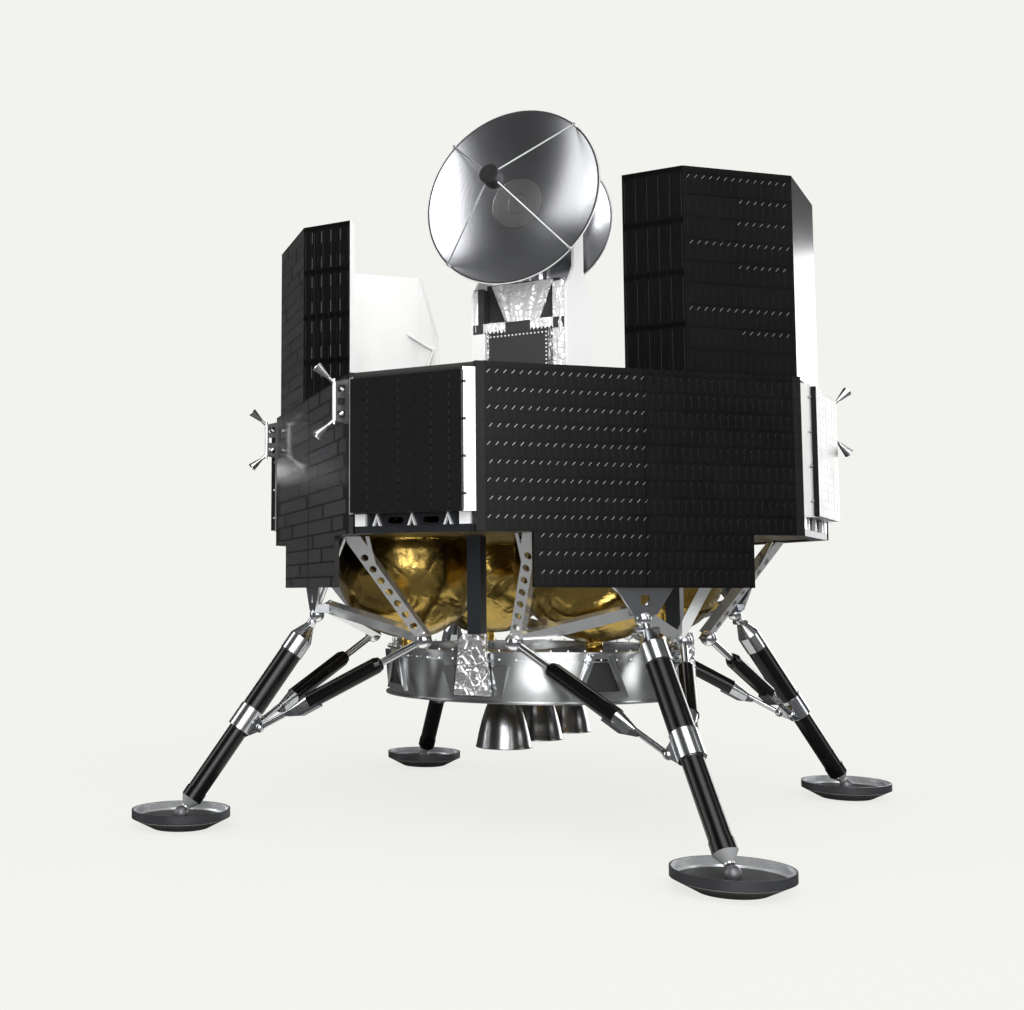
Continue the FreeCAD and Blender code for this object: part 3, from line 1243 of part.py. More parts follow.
def dish(name, turn, radius, depth, offset):
    """Reflector with its hub and trunnions, drawn looking along +Z from the elevation axis."""
    wall, lip = size.dish_wall, size.dish_lip
    edge = radius - lip
    arc = (edge * edge + depth * depth) / (depth * 2)
    shell = turned("reflector_" + name, [
        (0, offset, arc), (edge, offset + depth), (radius, offset + depth),
        (radius, offset + depth - wall), (edge + wall / 2, offset + depth - wall, -(arc + wall)),
        (size.hub_radius, offset - wall + size.hub_radius * size.hub_radius / (arc * 2)),
        (size.hub_radius, -size.hub_radius), (0, -size.hub_radius),
    ])
    pin_half = size.fork_half_gap - size.fit_gap
    pin = cylinder("trunnion_" + name, (0, -pin_half, 0), size.trunnion_radius, pin_half * 2,
                   FreeCAD.Rotation(FreeCAD.Vector(1, 0, 0), -90))
    whole = fused("dish_whole_" + name, [shell, pin])
    aimed, base = dish_pose(turn)
    node(place(whole, base, aimed), name + "_dish")

    face = offset + size.feed_ahead
    horn = turned("horn_" + name, [
        (0, face - size.feed_length), (size.feed_radius * 0.9, face - size.feed_length),
        (size.feed_radius, face - size.feed_length * 0.8), (size.feed_radius, face), (0, face)])
    pieces = [horn]
    for step in range(4):
        angle = math.radians(45 + 90 * step)
        across = (radius - lip / 2) * math.cos(angle), (radius - lip / 2) * math.sin(angle)
        seat = (across[0], across[1], offset + depth)
        pieces.append(cylinder("feed_post_%s_%d" % (name, step), seat, lip / 2, lip * 1.2))
        low = (seat[0], seat[1], seat[2] + lip * 0.7)
        high = (size.feed_radius * 0.8 * math.cos(angle), size.feed_radius * 0.8 * math.sin(angle),
                face - size.feed_length * 0.4)
        pieces.append(tube("feed_strut_%s_%d" % (name, step), low, high, size.feed_strut))
    carried = fused("feed_whole_" + name, pieces)
    node(place(carried, base, aimed), name + "_feed")


def dish_pose(turn):
    """Rotation and base point of a dish at rest: Z looks out at the rest elevation, Y is level."""
    raised = math.radians(number(size.rest_angle))
    angle = math.radians(turn)
    out = FreeCAD.Vector(math.cos(angle) * math.cos(raised), math.sin(angle) * math.cos(raised),
                         math.sin(raised))
    level = FreeCAD.Vector(-math.sin(angle), math.cos(angle), 0)
    base = (size.pivot_out * math.cos(angle), size.pivot_out * math.sin(angle), size.pivot_height)
    return FreeCAD.Rotation(FreeCAD.Vector(), level, out, "ZYX"), base


# ---------------------------------------------------------------- the whole lander

for side_name, side_turn in SIDES:
    side_panel(side_name, side_turn)
    tank(side_name, side_turn)
    leg_frame(side_name, side_turn)
    leg_strut(side_name, side_turn)
    leg_braces(side_name, side_turn)
    foot_pad(side_name, side_turn)
lower_frame()
decks()
corner_modules()
screens()
thrust_ring()
corner_columns()
engine_mount()
for engine_name, engine_step in (("front", -1), ("centre", 0), ("rear", 1)):
    engine(engine_name, engine_step)
for pod_name, pod_turn, pod_hand in (("front_left", 180, -1), ("rear_left", 180, 1),
                                     ("front_right", 0, -1), ("rear_right", 0, 1)):
    thruster_pod(pod_name, pod_turn, pod_hand)
mast()
for dish_name, dish_turn, dish_radius, dish_depth, dish_offset in (
        ("front", -135, size.front_dish_radius, size.front_dish_depth, size.front_dish_offset),
        ("rear", 45, size.rear_dish_radius, size.rear_dish_depth, size.rear_dish_offset)):
    yoke(dish_name, dish_turn)
    dish(dish_name, dish_turn, dish_radius, dish_depth, dish_offset)

doc.recompute()

# ---------------------------------------------------------------- checks and files

faults = ["%s: %s" % (item.Name, ", ".join(item.State)) for item in doc.Objects
          if "Invalid" in item.State or "Error" in item.State]
for item in NODES:
    if item.Shape.isNull() or not item.Shape.isValid() or not item.Shape.Solids:
        faults.append("%s: no valid solid" % item.Label)
if faults:
    raise RuntimeError("; ".join(faults))

os.makedirs("parts", exist_ok=True)
for item in NODES:
    item.Shape.exportStep(os.path.join("parts", item.Label + ".step"))
    print("%-24s %2d solids %10.0f cm3" % (item.Label, len(item.Shape.Solids), item.Shape.Volume / 1000))
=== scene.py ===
import math
import random

import bmesh
import bpy
from mathutils import Matrix, Vector
from mathutils import noise as waves


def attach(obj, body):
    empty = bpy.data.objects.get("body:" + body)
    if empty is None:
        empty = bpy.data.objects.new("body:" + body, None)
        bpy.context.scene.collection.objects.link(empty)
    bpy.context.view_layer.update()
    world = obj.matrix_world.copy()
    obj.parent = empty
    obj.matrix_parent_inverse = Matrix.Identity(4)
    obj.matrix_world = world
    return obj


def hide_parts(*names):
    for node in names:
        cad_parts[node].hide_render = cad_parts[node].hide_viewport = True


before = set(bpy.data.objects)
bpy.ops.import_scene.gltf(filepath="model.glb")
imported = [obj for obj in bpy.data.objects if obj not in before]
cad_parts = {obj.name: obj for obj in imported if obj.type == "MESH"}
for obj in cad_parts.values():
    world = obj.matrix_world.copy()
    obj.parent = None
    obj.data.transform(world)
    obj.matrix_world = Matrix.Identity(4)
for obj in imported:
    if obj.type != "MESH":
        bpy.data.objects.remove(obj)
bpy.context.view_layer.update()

SQRT2 = math.sqrt(2)


# ---------------- nodes

def operator(operation, swapped=False):
    """Method that stands for one arithmetic sign."""
    if swapped:
        return lambda self, other: maths(operation, other, self)
    return lambda self, *other: maths(operation, self, *other)


class Value:
    """A node's output that takes part in ordinary arithmetic."""

    def __init__(self, graph, socket):
        self.graph = graph
        self.socket = socket

    def __neg__(self):
        return self * -1

    __abs__ = operator("ABSOLUTE")
    __add__, __radd__ = operator("ADD"), operator("ADD", swapped=True)
    __sub__, __rsub__ = operator("SUBTRACT"), operator("SUBTRACT", swapped=True)
    __mul__, __truediv__, __mod__ = operator("MULTIPLY"), operator("DIVIDE"), operator("FLOORED_MODULO")
    __gt__, __lt__ = operator("GREATER_THAN"), operator("LESS_THAN")


class Graph:
    """Nodes and links of one tree."""

    prefix = "ShaderNode"

    def __init__(self, tree):
        self.nodes = tree.nodes
        self.links = tree.links

    def add(self, kind, settings=None, output=0, **inputs):
        """Adds any node with its settings, and inputs by name or by i and a number. Gives an output."""
        made = self.nodes.new(kind if "Node" in kind else self.prefix + kind)
        for key, value in (settings or {}).items():
            setattr(made, key, value)
        for key, value in inputs.items():
            numbered = key[0] == "i" and key[1:].isdigit()
            self.feed(made.inputs[int(key[1:]) if numbered else key.replace("_", " ")], value)
        return Value(self, made.outputs[output]) if made.outputs else None

    def feed(self, socket, value):
        if isinstance(value, Value):
            self.links.new(value.socket, socket)
        elif isinstance(value, tuple) and socket.type == "RGBA":
            socket.default_value = (*value, 1)
        else:
            socket.default_value = value


def add_for(numbers, kind, settings=None):
    """Adds a node in the graph that the numbers come from; at least one of them is a Value."""
    graph = next(number.graph for number in numbers if isinstance(number, Value))
    return graph.add(kind, settings, **{"i%d" % index: number for index, number in enumerate(numbers)})


def maths(operation, *numbers):
    return add_for(numbers, "ShaderNodeMath", {"operation": operation})


def larger(first, second):
    return maths("MAXIMUM", first, second)


def smaller(first, second):
    return maths("MINIMUM", first, second)


def band(value, low, high):
    """1 between low and high, else 0."""
    return (value > low) * (value < high)


def mix(share, low, high):
    """Number between low and high."""
    return low + share * (high - low)


def joined(x, y, z):
    return add_for((x, y, z), "ShaderNodeCombineXYZ")


def parts(vector):
    split = vector.graph.add("ShaderNodeSeparateXYZ", i0=vector).socket.node
    return [Value(vector.graph, out) for out in split.outputs]


def length(*sides):
    """Length of the diagonal over two or three sides."""
    total = sides[0] * sides[0] + sides[1] * sides[1]
    return maths("SQRT", total + sides[2] * sides[2] if len(sides) > 2 else total)


def chance(x, y, z=0.0):
    """A number from 0 to 1 that is fixed for each set of whole numbers."""
    return x.graph.add("TexWhiteNoise", {"noise_dimensions": "3D"}, "Value", Vector=joined(x, y, z))


def noise(vector, scale, detail=3.0, roughness=0.5):
    return vector.graph.add("TexNoise", Vector=vector, Scale=scale, Detail=detail, Roughness=roughness)


def ramp(value, *stops):
    """Colour ramp; a stop is (place, grey) or (place, (r, g, b))."""
    made = value.graph.add("ValToRGB", Fac=value)
    elements = made.socket.node.color_ramp.elements
    while len(elements) < len(stops):
        elements.new(0.5)
    for element, (spot, colour) in zip(elements, stops):
        element.position = spot
        element.color = (*colour, 1) if isinstance(colour, tuple) else (colour, colour, colour, 1)
    return made


def rising(value):
    """The value, held between 0 and 1."""
    return ramp(value, (0.0, 0.0), (1.0, 1.0))


def blend(share, low, high):
    """Colour between low and high."""
    return share.graph.add("Mix", {"data_type": "RGBA"}, 2, i0=share, i6=low, i7=high)


def bump(height, distance, strength=1.0):
    return height.graph.add("Bump", Height=height, Distance=distance, Strength=strength)


class Finish(Graph):
    """One surface finish: a Principled material, built up by its node tree."""

    sockets = {"colour": "Base Color", "roughness": "Roughness", "metallic": "Metallic", "normal": "Normal"}

    def __init__(self, name, colour, roughness, metallic=0.0, **fixed):
        self.material = bpy.data.materials.new(name)
        self.material.use_nodes = True
        self.material.diffuse_color = (*colour, 1)
        super().__init__(self.material.node_tree)
        self.shader = next(node for node in self.nodes if node.type == "BSDF_PRINCIPLED")
        self.set(colour=colour, roughness=roughness, metallic=metallic)
        for socket, value in fixed.items():
            self.shader.inputs[socket.replace("_", " ")].default_value = value
        # object coordinates, in metres of the lander's frame
        self.place = self.add("TexCoord", output="Object")
        self.x, self.y, self.z = parts(self.place)

    def facing(self):
        """World direction that the true surface faces."""
        return parts(self.add("NewGeometry", output="True Normal"))

    def set(self, **values):
        for key, value in values.items():
            self.feed(self.shader.inputs[self.sockets[key]], value)
        return self


class Tree(Graph):
    """A Geometry Nodes tree with named sizes; each baking gives one plain mesh."""

    prefix = "GeometryNode"

    def __init__(self, name, **sizes):
        self.name = name
        self.group = bpy.data.node_groups.new(name, "GeometryNodeTree")
        super().__init__(self.group)
        face = self.group.interface
        face.new_socket("Geometry", in_out="OUTPUT", socket_type="NodeSocketGeometry")
        kinds = {int: "NodeSocketInt", float: "NodeSocketFloat"}
        self.keys = {}
        for key, value in sizes.items():
            socket = face.new_socket(key, in_out="INPUT", socket_type=kinds[type(value)])
            socket.default_value = value
            self.keys[key] = socket.identifier
        finish = face.new_socket("Finish", in_out="INPUT", socket_type="NodeSocketMaterial")
        self.keys["Finish"] = finish.identifier
        self.given = self.nodes.new("NodeGroupInput")

    def size(self, key):
        return Value(self, self.given.outputs[key])

    def close(self, shape):
        """Ends the tree: instances made real, finish set."""
        real = self.add("RealizeInstances", Geometry=shape)
        self.add("NodeGroupOutput", i0=self.add("SetMaterial", Geometry=real, Material=self.size("Finish")))
        return self

    def bake(self, coat, matrix, **sizes):
        """Mesh that the tree gives for these sizes, set in place by a matrix."""
        item = linked(self.name, bpy.data.meshes.new(self.name))
        modifier = item.modifiers.new("tree", "NODES")
        modifier.node_group = self.group
        modifier[self.keys["Finish"]] = coat.material
        for key, value in sizes.items():
            modifier[self.keys[key]] = value
        graph = bpy.context.evaluated_depsgraph_get()
        mesh = bpy.data.meshes.new_from_object(item.evaluated_get(graph))
        bpy.data.objects.remove(item)
        mesh.materials.clear()
        mesh.materials.append(coat.material)
        mesh.polygons.foreach_set("material_index", [0] * len(mesh.polygons))
        mesh.transform(matrix)
        return mesh


def leaning_marks():
    """Rows of short leaning bars on a wall: X across, Y up, Z out of it."""
    tree = Tree("leaning_marks", Columns=10, Rows=4, Pitch=0.041, Row=0.084, Length=0.0225, Thick=0.0032,
                Proud=0.002, Lean=0.8, Step=0.25, First=0, Kept=1.0, Seed=0)
    columns, rows, pitch, row = (tree.size(key) for key in ("Columns", "Rows", "Pitch", "Row"))
    wide, high = (columns - 1) * pitch, (rows - 1) * row
    grid = tree.add("MeshGrid", Size_X=wide, Size_Y=high, Vertices_X=columns, Vertices_Y=rows)
    y = parts(tree.add("InputPosition"))[1]
    line = maths("ROUND", (high * 0.5 - y) / row) + tree.size("First")
    shift = (line % 2.0) * tree.size("Step") * pitch
    moved = tree.add("SetPosition", Geometry=grid, Offset=joined(shift, 0.0, 0.0))
    bar = tree.add("MeshCube", Size=joined(tree.size("Length"), tree.size("Thick"), tree.size("Proud")))
    kept = tree.add("FunctionNodeRandomValue", {"data_type": "BOOLEAN"}, 3, Probability=tree.size("Kept"),
                    Seed=tree.size("Seed"))
    return tree.close(tree.add("InstanceOnPoints", Points=moved, Instance=bar, Selection=kept,
                               Rotation=joined(0.0, 0.0, tree.size("Lean"))))


def rivets(circle=False):
    """Domed heads in a straight row along X, or in a circle about Z; they stand out along Z."""
    if circle:
        tree = Tree("rivet_circle", Count=60, Circle=0.8, Radius=0.005, Height=0.006)
        points = tree.add("MeshCircle", Vertices=tree.size("Count"), Radius=tree.size("Circle"))
    else:
        tree = Tree("rivet_line", Count=10, Spacing=0.02, Radius=0.004, Height=0.003)
        points = tree.add("MeshLine", Count=tree.size("Count"), Offset=joined(tree.size("Spacing"), 0.0, 0.0))
    head = tree.add("MeshCone", Vertices=8, Radius_Top=tree.size("Radius") * (0.75 if circle else 0.55),
                    Radius_Bottom=tree.size("Radius"), Depth=tree.size("Height"))
    return tree.close(tree.add("InstanceOnPoints", Points=points, Instance=head))


BARS, HEADS, HEAD_CIRCLE = leaning_marks(), rivets(), rivets(circle=True)


# ---------------- pieces

def linked(name, data):
    """New object in the scene."""
    item = bpy.data.objects.new(name, data)
    bpy.context.collection.objects.link(item)
    return item


def wall(azimuth, out, across=0.0, height=0.0, turn=0):
    """Frame of an upright wall: X to the right as seen from outside, Y up, Z out of the wall."""
    angle = math.radians(azimuth)
    normal = Vector((math.cos(angle), math.sin(angle), 0))
    right = Vector((0, 0, 1)).cross(normal)
    base = normal * out + right * across + Vector((0, 0, height))
    upright = Matrix((right, Vector((0, 0, 1)), normal)).transposed().to_4x4()
    return Matrix.Translation(base) @ upright @ Matrix.Rotation(math.radians(turn), 4, "Z")


def mesh_of(shape, name, material, smooth=False):
    """Mesh of a finished bmesh shape."""
    for face in shape.faces:
        face.smooth = smooth
    mesh = bpy.data.meshes.new(name)
    shape.to_mesh(mesh)
    shape.free()
    mesh.materials.append(material)
    return mesh


def piece(name, meshes):
    """Joins meshes into one finished piece that rides on the lander."""
    whole = meshes[0]
    if len(meshes) > 1:
        build = bmesh.new()
        for mesh in meshes:
            build.from_mesh(mesh)
        whole = bpy.data.meshes.new(name)
        build.to_mesh(whole)
        build.free()
        whole.materials.append(meshes[0].materials[0])
    whole.name = name
    item = linked(name, whole)
    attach(item, "lander")
    return item


def join_rings(shape, rings):
    """Faces between rings of points, one after another; a ring of one point is a pole."""
    for low, high in zip(rings, rings[1:]):
        steps = max(len(low), len(high))
        for turn in range(steps):
            after = (turn + 1) % steps
            corners = (low[turn % len(low)], low[after % len(low)],
                       high[after % len(high)], high[turn % len(high)])
            shape.faces.new(list(dict.fromkeys(corners)))


# ---------------- places of the main forms, in metres

SIDES = {"front": 270, "left": 180, "right": 0, "rear": 90}
CORNERS = (225, 135, 45, 315)

PANEL_TOP, DECK_EDGE = 2.284, 1.499
FACE_HALF, APRON_HALF, FACE_OUT = 0.854, 0.572, 1.326
CELL_PITCH, CELL_ROW, CELL_MARGIN, CELL_DROP, CELL_STEP = 0.0412, 0.084, 0.064, 0.045, 0.25
SCREEN_TOP, SCREEN_OUT, SCREEN_EDGE = 3.311, 1.301, 0.246
SCREEN_ROW, SCREEN_DROP, WING_ROW = 0.110, 0.050, 0.259
# corner panels: how far out they are, and their upright lines
PANEL_OUT = 1.606
PANEL_LINES = (-0.200, -0.111, -0.033, 0.056, 0.138, 0.229)

# main strut: its upper ball, and how far it runs out and down for each metre of its length
JOINT_OUT, JOINT_HIGH, STRUT_OUT, STRUT_DOWN = 1.275, 1.097, 0.5767, 0.8170
# side brace: its ball, and how far it runs out, in towards the leg's middle, and down
NODE_OUT, NODE_SIDE, NODE_HIGH = 0.821, 0.468, 0.974
BRACE_OUT, BRACE_IN, BRACE_DOWN = 0.7822, 0.4077, 0.4710
PAD_OUT = 2.0

PIVOT_OUT, PIVOT_HIGH, REST_TILT = 0.060, 3.417, math.radians(8)
TANK_OUT, TANK_RADIUS, TANK_LOW, TANK_SKIN_TOP = 0.750, 0.395, 1.372, 1.500
FOLD_SEED = 7
COLUMN_FOOT_TOP, COLUMN_FOOT_OUT = 1.007, 0.8803
ENGINE_PITCH = 0.462


# ---------------- finishes

def far_and_near(coat):
    """Distances along and across the leg whose quarter of the lander a point is in."""
    x, y = abs(coat.x), abs(coat.y)
    return larger(x, y), smaller(x, y)


def across_face(coat):
    """Distance sideways along whichever upright face a point lies on, and that face's direction."""
    nx, ny, _ = coat.facing()
    return coat.y * nx - coat.x * ny, nx, ny


def dashed_cells(coat, across, start, top, row):
    """Grey of dark cells in rows that step sideways by turns, and the thin upright line in each cell."""
    fall = (top - coat.z) / row
    level, down = maths("FLOOR", fall), fall % 1.0
    column = (across - start) / CELL_PITCH - (level % 2.0) * CELL_STEP
    line = band(column % 1.0, 0.035, 0.085) * band(down, 0.16, 0.80)
    fine = band((column * 5.0) % 1.0, 0.0, 0.25)
    seam = band(down, 0.93, 1.0)
    patch = chance(maths("FLOOR", column / 7.0), level, 7.0)
    cloud = noise(coat.place, 1.1, 2.0)
    grey = mix(cloud, 0.0022, 0.0042) * (0.85 + patch * 0.3)
    return grey + line * 0.005 + fine * 0.0012 - seam * 0.002, line


def dashed_finish():
    """Front and right faces: dark cells under cover glass, with painted shade over the right half of each
    face.
    """
    coat = Finish("dashed_cells", (0.006, 0.006, 0.006), 0.26, Specular_IOR_Level=0.2)
    border, half_joint = 0.045, 0.005
    across, _, _ = across_face(coat)
    grey, line = dashed_cells(coat, across, CELL_MARGIN - FACE_HALF, PANEL_TOP - 0.030, CELL_ROW)
    margin = (abs(across) > FACE_HALF - border) * (coat.z > DECK_EDGE)
    division = band(across, -half_joint, half_joint)
    # painted shade: the cells over the right half of each face are painted 18 percent darker
    grey = (grey * (1.0 - (across > 0.0) * 0.18) + margin * 0.006) * (1.0 - division * 0.6)
    return coat.set(colour=joined(grey, grey * 1.01, grey * 1.04), normal=bump(line, 0.0003, 0.3),
                    roughness=0.20 + noise(coat.place, 8.0, 4.0) * 0.12)


def courses(coat, across, top, edge):
    """Brick-like courses: their dark joints, a shade for each course's lengths, and a fine ribbing."""
    row, brick, rib, short = 0.0755, 0.92, 0.0085, 0.055
    fall = (top - coat.z) / row
    level = maths("FLOOR", fall)
    course = (across + chance(level, 5.0) * brick) / brick
    upright = larger(band(course % 1.0, 0.0, 0.040), abs(across) > edge - (level % 2.0) * short)
    joint = larger(band(fall % 1.0, 0.0, 0.13), upright)
    return joint, chance(maths("FLOOR", course), level, 9.0), band((across / rib) % 1.0, 0.0, 0.3)


def coursed_finish():
    """Left and rear faces: slate cells in courses, with thick upright joints here and there."""
    coat = Finish("coursed_cells", (0.03, 0.03, 0.033), 0.34, Specular_IOR_Level=0.22)
    edge, half_seam = 0.790, 0.009
    across, _, _ = across_face(coat)
    joint, patch, fine = courses(coat, across, PANEL_TOP, edge)
    grey = mix(noise(coat.place, 1.6), 0.026, 0.038) * (0.86 + patch * 0.28) * (1.0 - fine * 0.16)
    grey = grey * (1.0 - joint * 0.90) * (1.0 - band(across, -half_seam, half_seam) * 0.9)
    return coat.set(colour=joined(grey, grey, grey * 1.10), normal=bump(-joint, 0.004, 0.7),
                    roughness=0.11 + noise(coat.place, 9.0, 4.0) * 0.06)


def dash_finish():
    """Silver dashes, bright over the left half of each face, with painted shade making them dark over the
    right half.
    """
    coat = Finish("dash_silver", (0.50, 0.51, 0.52), 0.30, 0.9, Specular_IOR_Level=0.2)
    across, _, _ = across_face(coat)
    # painted shade: dull rises to 1 over the right half of each face, below the panels' top, and paints the
    # dashes dark there; it also makes them rougher and less metallic
    dull = rising(across * 12.0 + 0.7) * (coat.z < PANEL_TOP)
    return coat.set(colour=blend(dull, (0.42, 0.43, 0.44), (0.006, 0.006, 0.0065)),
                    metallic=0.9 - dull * 0.9, roughness=0.28 + dull * 0.2)


def screen_finish():
    """Folded screens: dashed cells on the wide walls, tall cells on the wings, bright inside."""
    coat = Finish("folded_screen_cells", (0.012, 0.012, 0.013), 0.34, Specular_IOR_Level=0.22)
    place = coat.place
    x, y, z = coat.x, coat.y, coat.z
    across, nx, ny = across_face(coat)
    wide, line = dashed_cells(coat, across, SCREEN_EDGE + 0.02, SCREEN_TOP - 0.035, SCREEN_ROW)
    joint, patch, fine = courses(coat, across, SCREEN_TOP, 2.0)
    bricks = (0.026 + patch * 0.010) * (1.0 - joint * 0.8) * (1.0 - fine * 0.2)
    wide = mix(larger(-nx, ny) > 0.9, wide, bricks)
    # tall cells of the wings, in groups between dark rails
    rise = SCREEN_TOP - z
    group = (rise / WING_ROW) % 1.0
    tall = band((across / 0.057) % 1.0, 0.0, 0.05) * band(group, 0.14, 0.96)
    wing = 0.0030 + tall * 0.010 - band(group, 0.0, 0.10) * 0.002
    # corner wall: fine upright hatching and rows of dots, on a surface that catches the light
    square = larger(abs(nx), abs(ny)) > 0.9
    slope = (nx * ny < -0.3) * (1.0 - square)
    hatch_pitch, dot_pitch = 0.012, 0.045
    hatch = band((across / hatch_pitch) % 1.0, 0.0, 0.45)
    dots = band((rise / dot_pitch) % 1.0, 0.0, 0.2) * band((across / dot_pitch) % 1.0, 0.0, 0.15)
    corner = 0.10 + hatch * 0.12 - dots * 0.06
    cells = mix(square, mix(slope, wing, corner), wide)
    inner = (x * nx + y * ny) < -0.05
    edge = abs(coat.facing()[2]) > 0.5
    cloud = noise(place, 2.2)
    dark = blend(edge, joined(cells, cells, cells * 1.05), (0.045, 0.046, 0.05))
    pale = ramp(cloud, (0.3, (0.90, 0.90, 0.89)), (0.7, (0.96, 0.96, 0.95)))
    sheen = slope * (1.0 - inner)
    return coat.set(colour=blend(inner, dark, pale), metallic=sheen * 0.8,
                    roughness=mix(inner, 0.20 + cloud * 0.1, 0.34) - sheen * 0.06,
                    normal=bump(line + tall, 0.0015, 0.5))


def corner_cell_finish():
    """Corner solar panels: near-black cells with fine upright grid lines and small level marks."""
    coat = Finish("corner_panel_cells", (0.010, 0.010, 0.010), 0.34, Specular_IOR_Level=0.25)
    grid, mark_pitch, mark_row = 0.0109, 0.0873, 0.152
    across, _, _ = across_face(coat)
    fine = band((across / grid) % 1.0, 0.0, 0.22)
    level = band((coat.z / mark_row) % 1.0, 0.0, 0.035) * band((across / mark_pitch) % 1.0, 0.3, 0.7)
    grey = 0.0050 + noise(coat.place, 2.0) * 0.003 + fine * 0.0014 - level * 0.003
    return coat.set(colour=joined(grey, grey, grey), roughness=0.24 + noise(coat.place, 7.0) * 0.10,
                    normal=bump(-level, 0.001, 0.6))


def crinkle(place, scale, depth, fold=1.0):
    """Normal and height of crumpled foil: broad pillows, sharp creases and small dents."""
    graph = place.graph
    wander = graph.add("TexNoise", output=1, Vector=place, Scale=scale * 0.6, Detail=2.0)
    wander = graph.add("VectorMath", {"operation": "SCALE"}, i0=wander, Scale=0.25 / scale)
    bend = graph.add("VectorMath", {"operation": "ADD"}, i0=place, i1=wander)
    crease = graph.add("TexVoronoi", {"feature": "DISTANCE_TO_EDGE"}, Vector=bend, Scale=scale)
    sharp = ramp(crease, (0.0, 0.0), (0.10, 0.75), (0.6, 1.0))
    broad, small = noise(place, scale * 0.5, 2.0), noise(bend, scale * 4.0, 3.0, 0.6)
    height = sharp * 0.55 * fold + broad * 1.6 + small * 0.22
    return bump(height, depth), height


def foil_finish(name, colour, dark, scale, depth, roughness=0.22, metallic=1.0, fold=1.0, shaded_above=None):
    """Crumpled foil; shaded_above is the height over which it lies in shade."""
    coat = Finish(name, colour, roughness, metallic)
    place = coat.place
    normal, _ = crinkle(place, scale, depth, fold)
    tint = blend(noise(place, scale * 0.8, 2.0), dark, colour)
    if shaded_above is not None:
        shade = rising((coat.z - shaded_above) * 5.0)
        tint = blend(shade, tint, tuple(c * 0.45 for c in dark))
    rough = roughness * 0.7 + noise(place, scale * 3.0, 2.0) * roughness * 0.7
    return coat.set(colour=tint, roughness=rough, normal=normal)


def brushed(name, colour, roughness=0.28, metallic=1.0, wear=0.16, **fixed):
    """Machined or drawn metal, or smooth paint: fine streaks, soft blotches and slightly duller patches."""
    coat = Finish(name, colour, roughness, metallic, **fixed)
    x, y, z = coat.x, coat.y, coat.z
    streak = noise(joined(x * 8.0, y * 8.0, z * 0.9), 17.5, 2.0)
    blotch = noise(coat.place, 5.0, 4.0, 0.6)
    tint = blend(blotch, tuple(c * (1 - wear) for c in colour), colour)
    rough = roughness * 0.72 + blotch * roughness * 0.45 + streak * 0.06
    return coat.set(colour=tint, roughness=rough, normal=bump(streak, 0.0004, 0.35))


def leg_frame_finish():
    """Welded leg frames: upright webs darker, and a painted highlight on the flanges and nodes, which face up
    or down.
    """
    coat = Finish("leg_frame_aluminium", (0.60, 0.61, 0.64), 0.16, 0.9)
    # painted highlight: faces that point up or down are painted bright, upright faces darker
    flange = rising((abs(coat.facing()[2]) - 0.30) * 6.0)
    blotch = noise(coat.place, 4.0)
    web = blend(blotch, (0.34, 0.35, 0.38), (0.46, 0.47, 0.50))
    return coat.set(colour=blend(flange, web, (0.92, 0.93, 0.94)), roughness=0.12 + blotch * 0.06,
                    metallic=0.94 - flange * 0.14, normal=bump(noise(coat.place, 90.0, 2.0), 0.0002, 0.3))


def tube_and_metal(coat, bright, scale, low, high):
    """Black tube with metal where bright is 1: its patches, colour and roughness."""
    blotch = noise(coat.place, scale, 4.0, 0.6)
    black = blend(blotch, (0.002, 0.002, 0.0022), (0.004, 0.004, 0.0045))
    rough = mix(bright, 0.10 + blotch * 0.05, 0.16 + blotch * 0.08)
    return blotch, blend(bright, black, blend(blotch, low, high)), rough


def strut_finish():
    """Main struts: black tubes between bright caps, collars, lugs and ends."""
    coat = Finish("strut_tube_and_fittings", (0.012, 0.012, 0.013), 0.12, Specular_IOR_Level=0.3)
    # the fittings' places along the strut, and the tube's radius
    cap_end, end_start, lug_radius = 0.249, 1.166, 0.0675
    far, near = far_and_near(coat)
    far, z = far - JOINT_OUT, coat.z - JOINT_HIGH
    along = far * STRUT_OUT - z * STRUT_DOWN
    aside = far * STRUT_DOWN + z * STRUT_OUT
    end = along > end_start
    lug = band(along, 0.55, 0.78) * (length(aside, near) > lug_radius)
    bright = smaller((along < cap_end) + band(along, 0.606, 0.736) + lug + end, 1.0)
    ring = band(along, 0.2485, 0.256) + band(along, 0.600, 0.6065) + band(along, 0.7355, 0.742)
    blotch, colour, rough = tube_and_metal(coat, bright, 6.0, (0.44, 0.45, 0.47), (0.60, 0.61, 0.63))
    colour = blend(smaller(ring, 1.0), colour, (0.02, 0.02, 0.02))
    colour = blend(end, colour, (0.62, 0.63, 0.64))
    weave = maths("SINE", along * 900.0) * maths("SINE", maths("ARCTAN2", aside, near) * 60.0)
    return coat.set(colour=colour, roughness=rough, metallic=bright - end * 0.35,
                    normal=bump(weave * (1.0 - bright) + blotch * bright, 0.0003, 0.35))


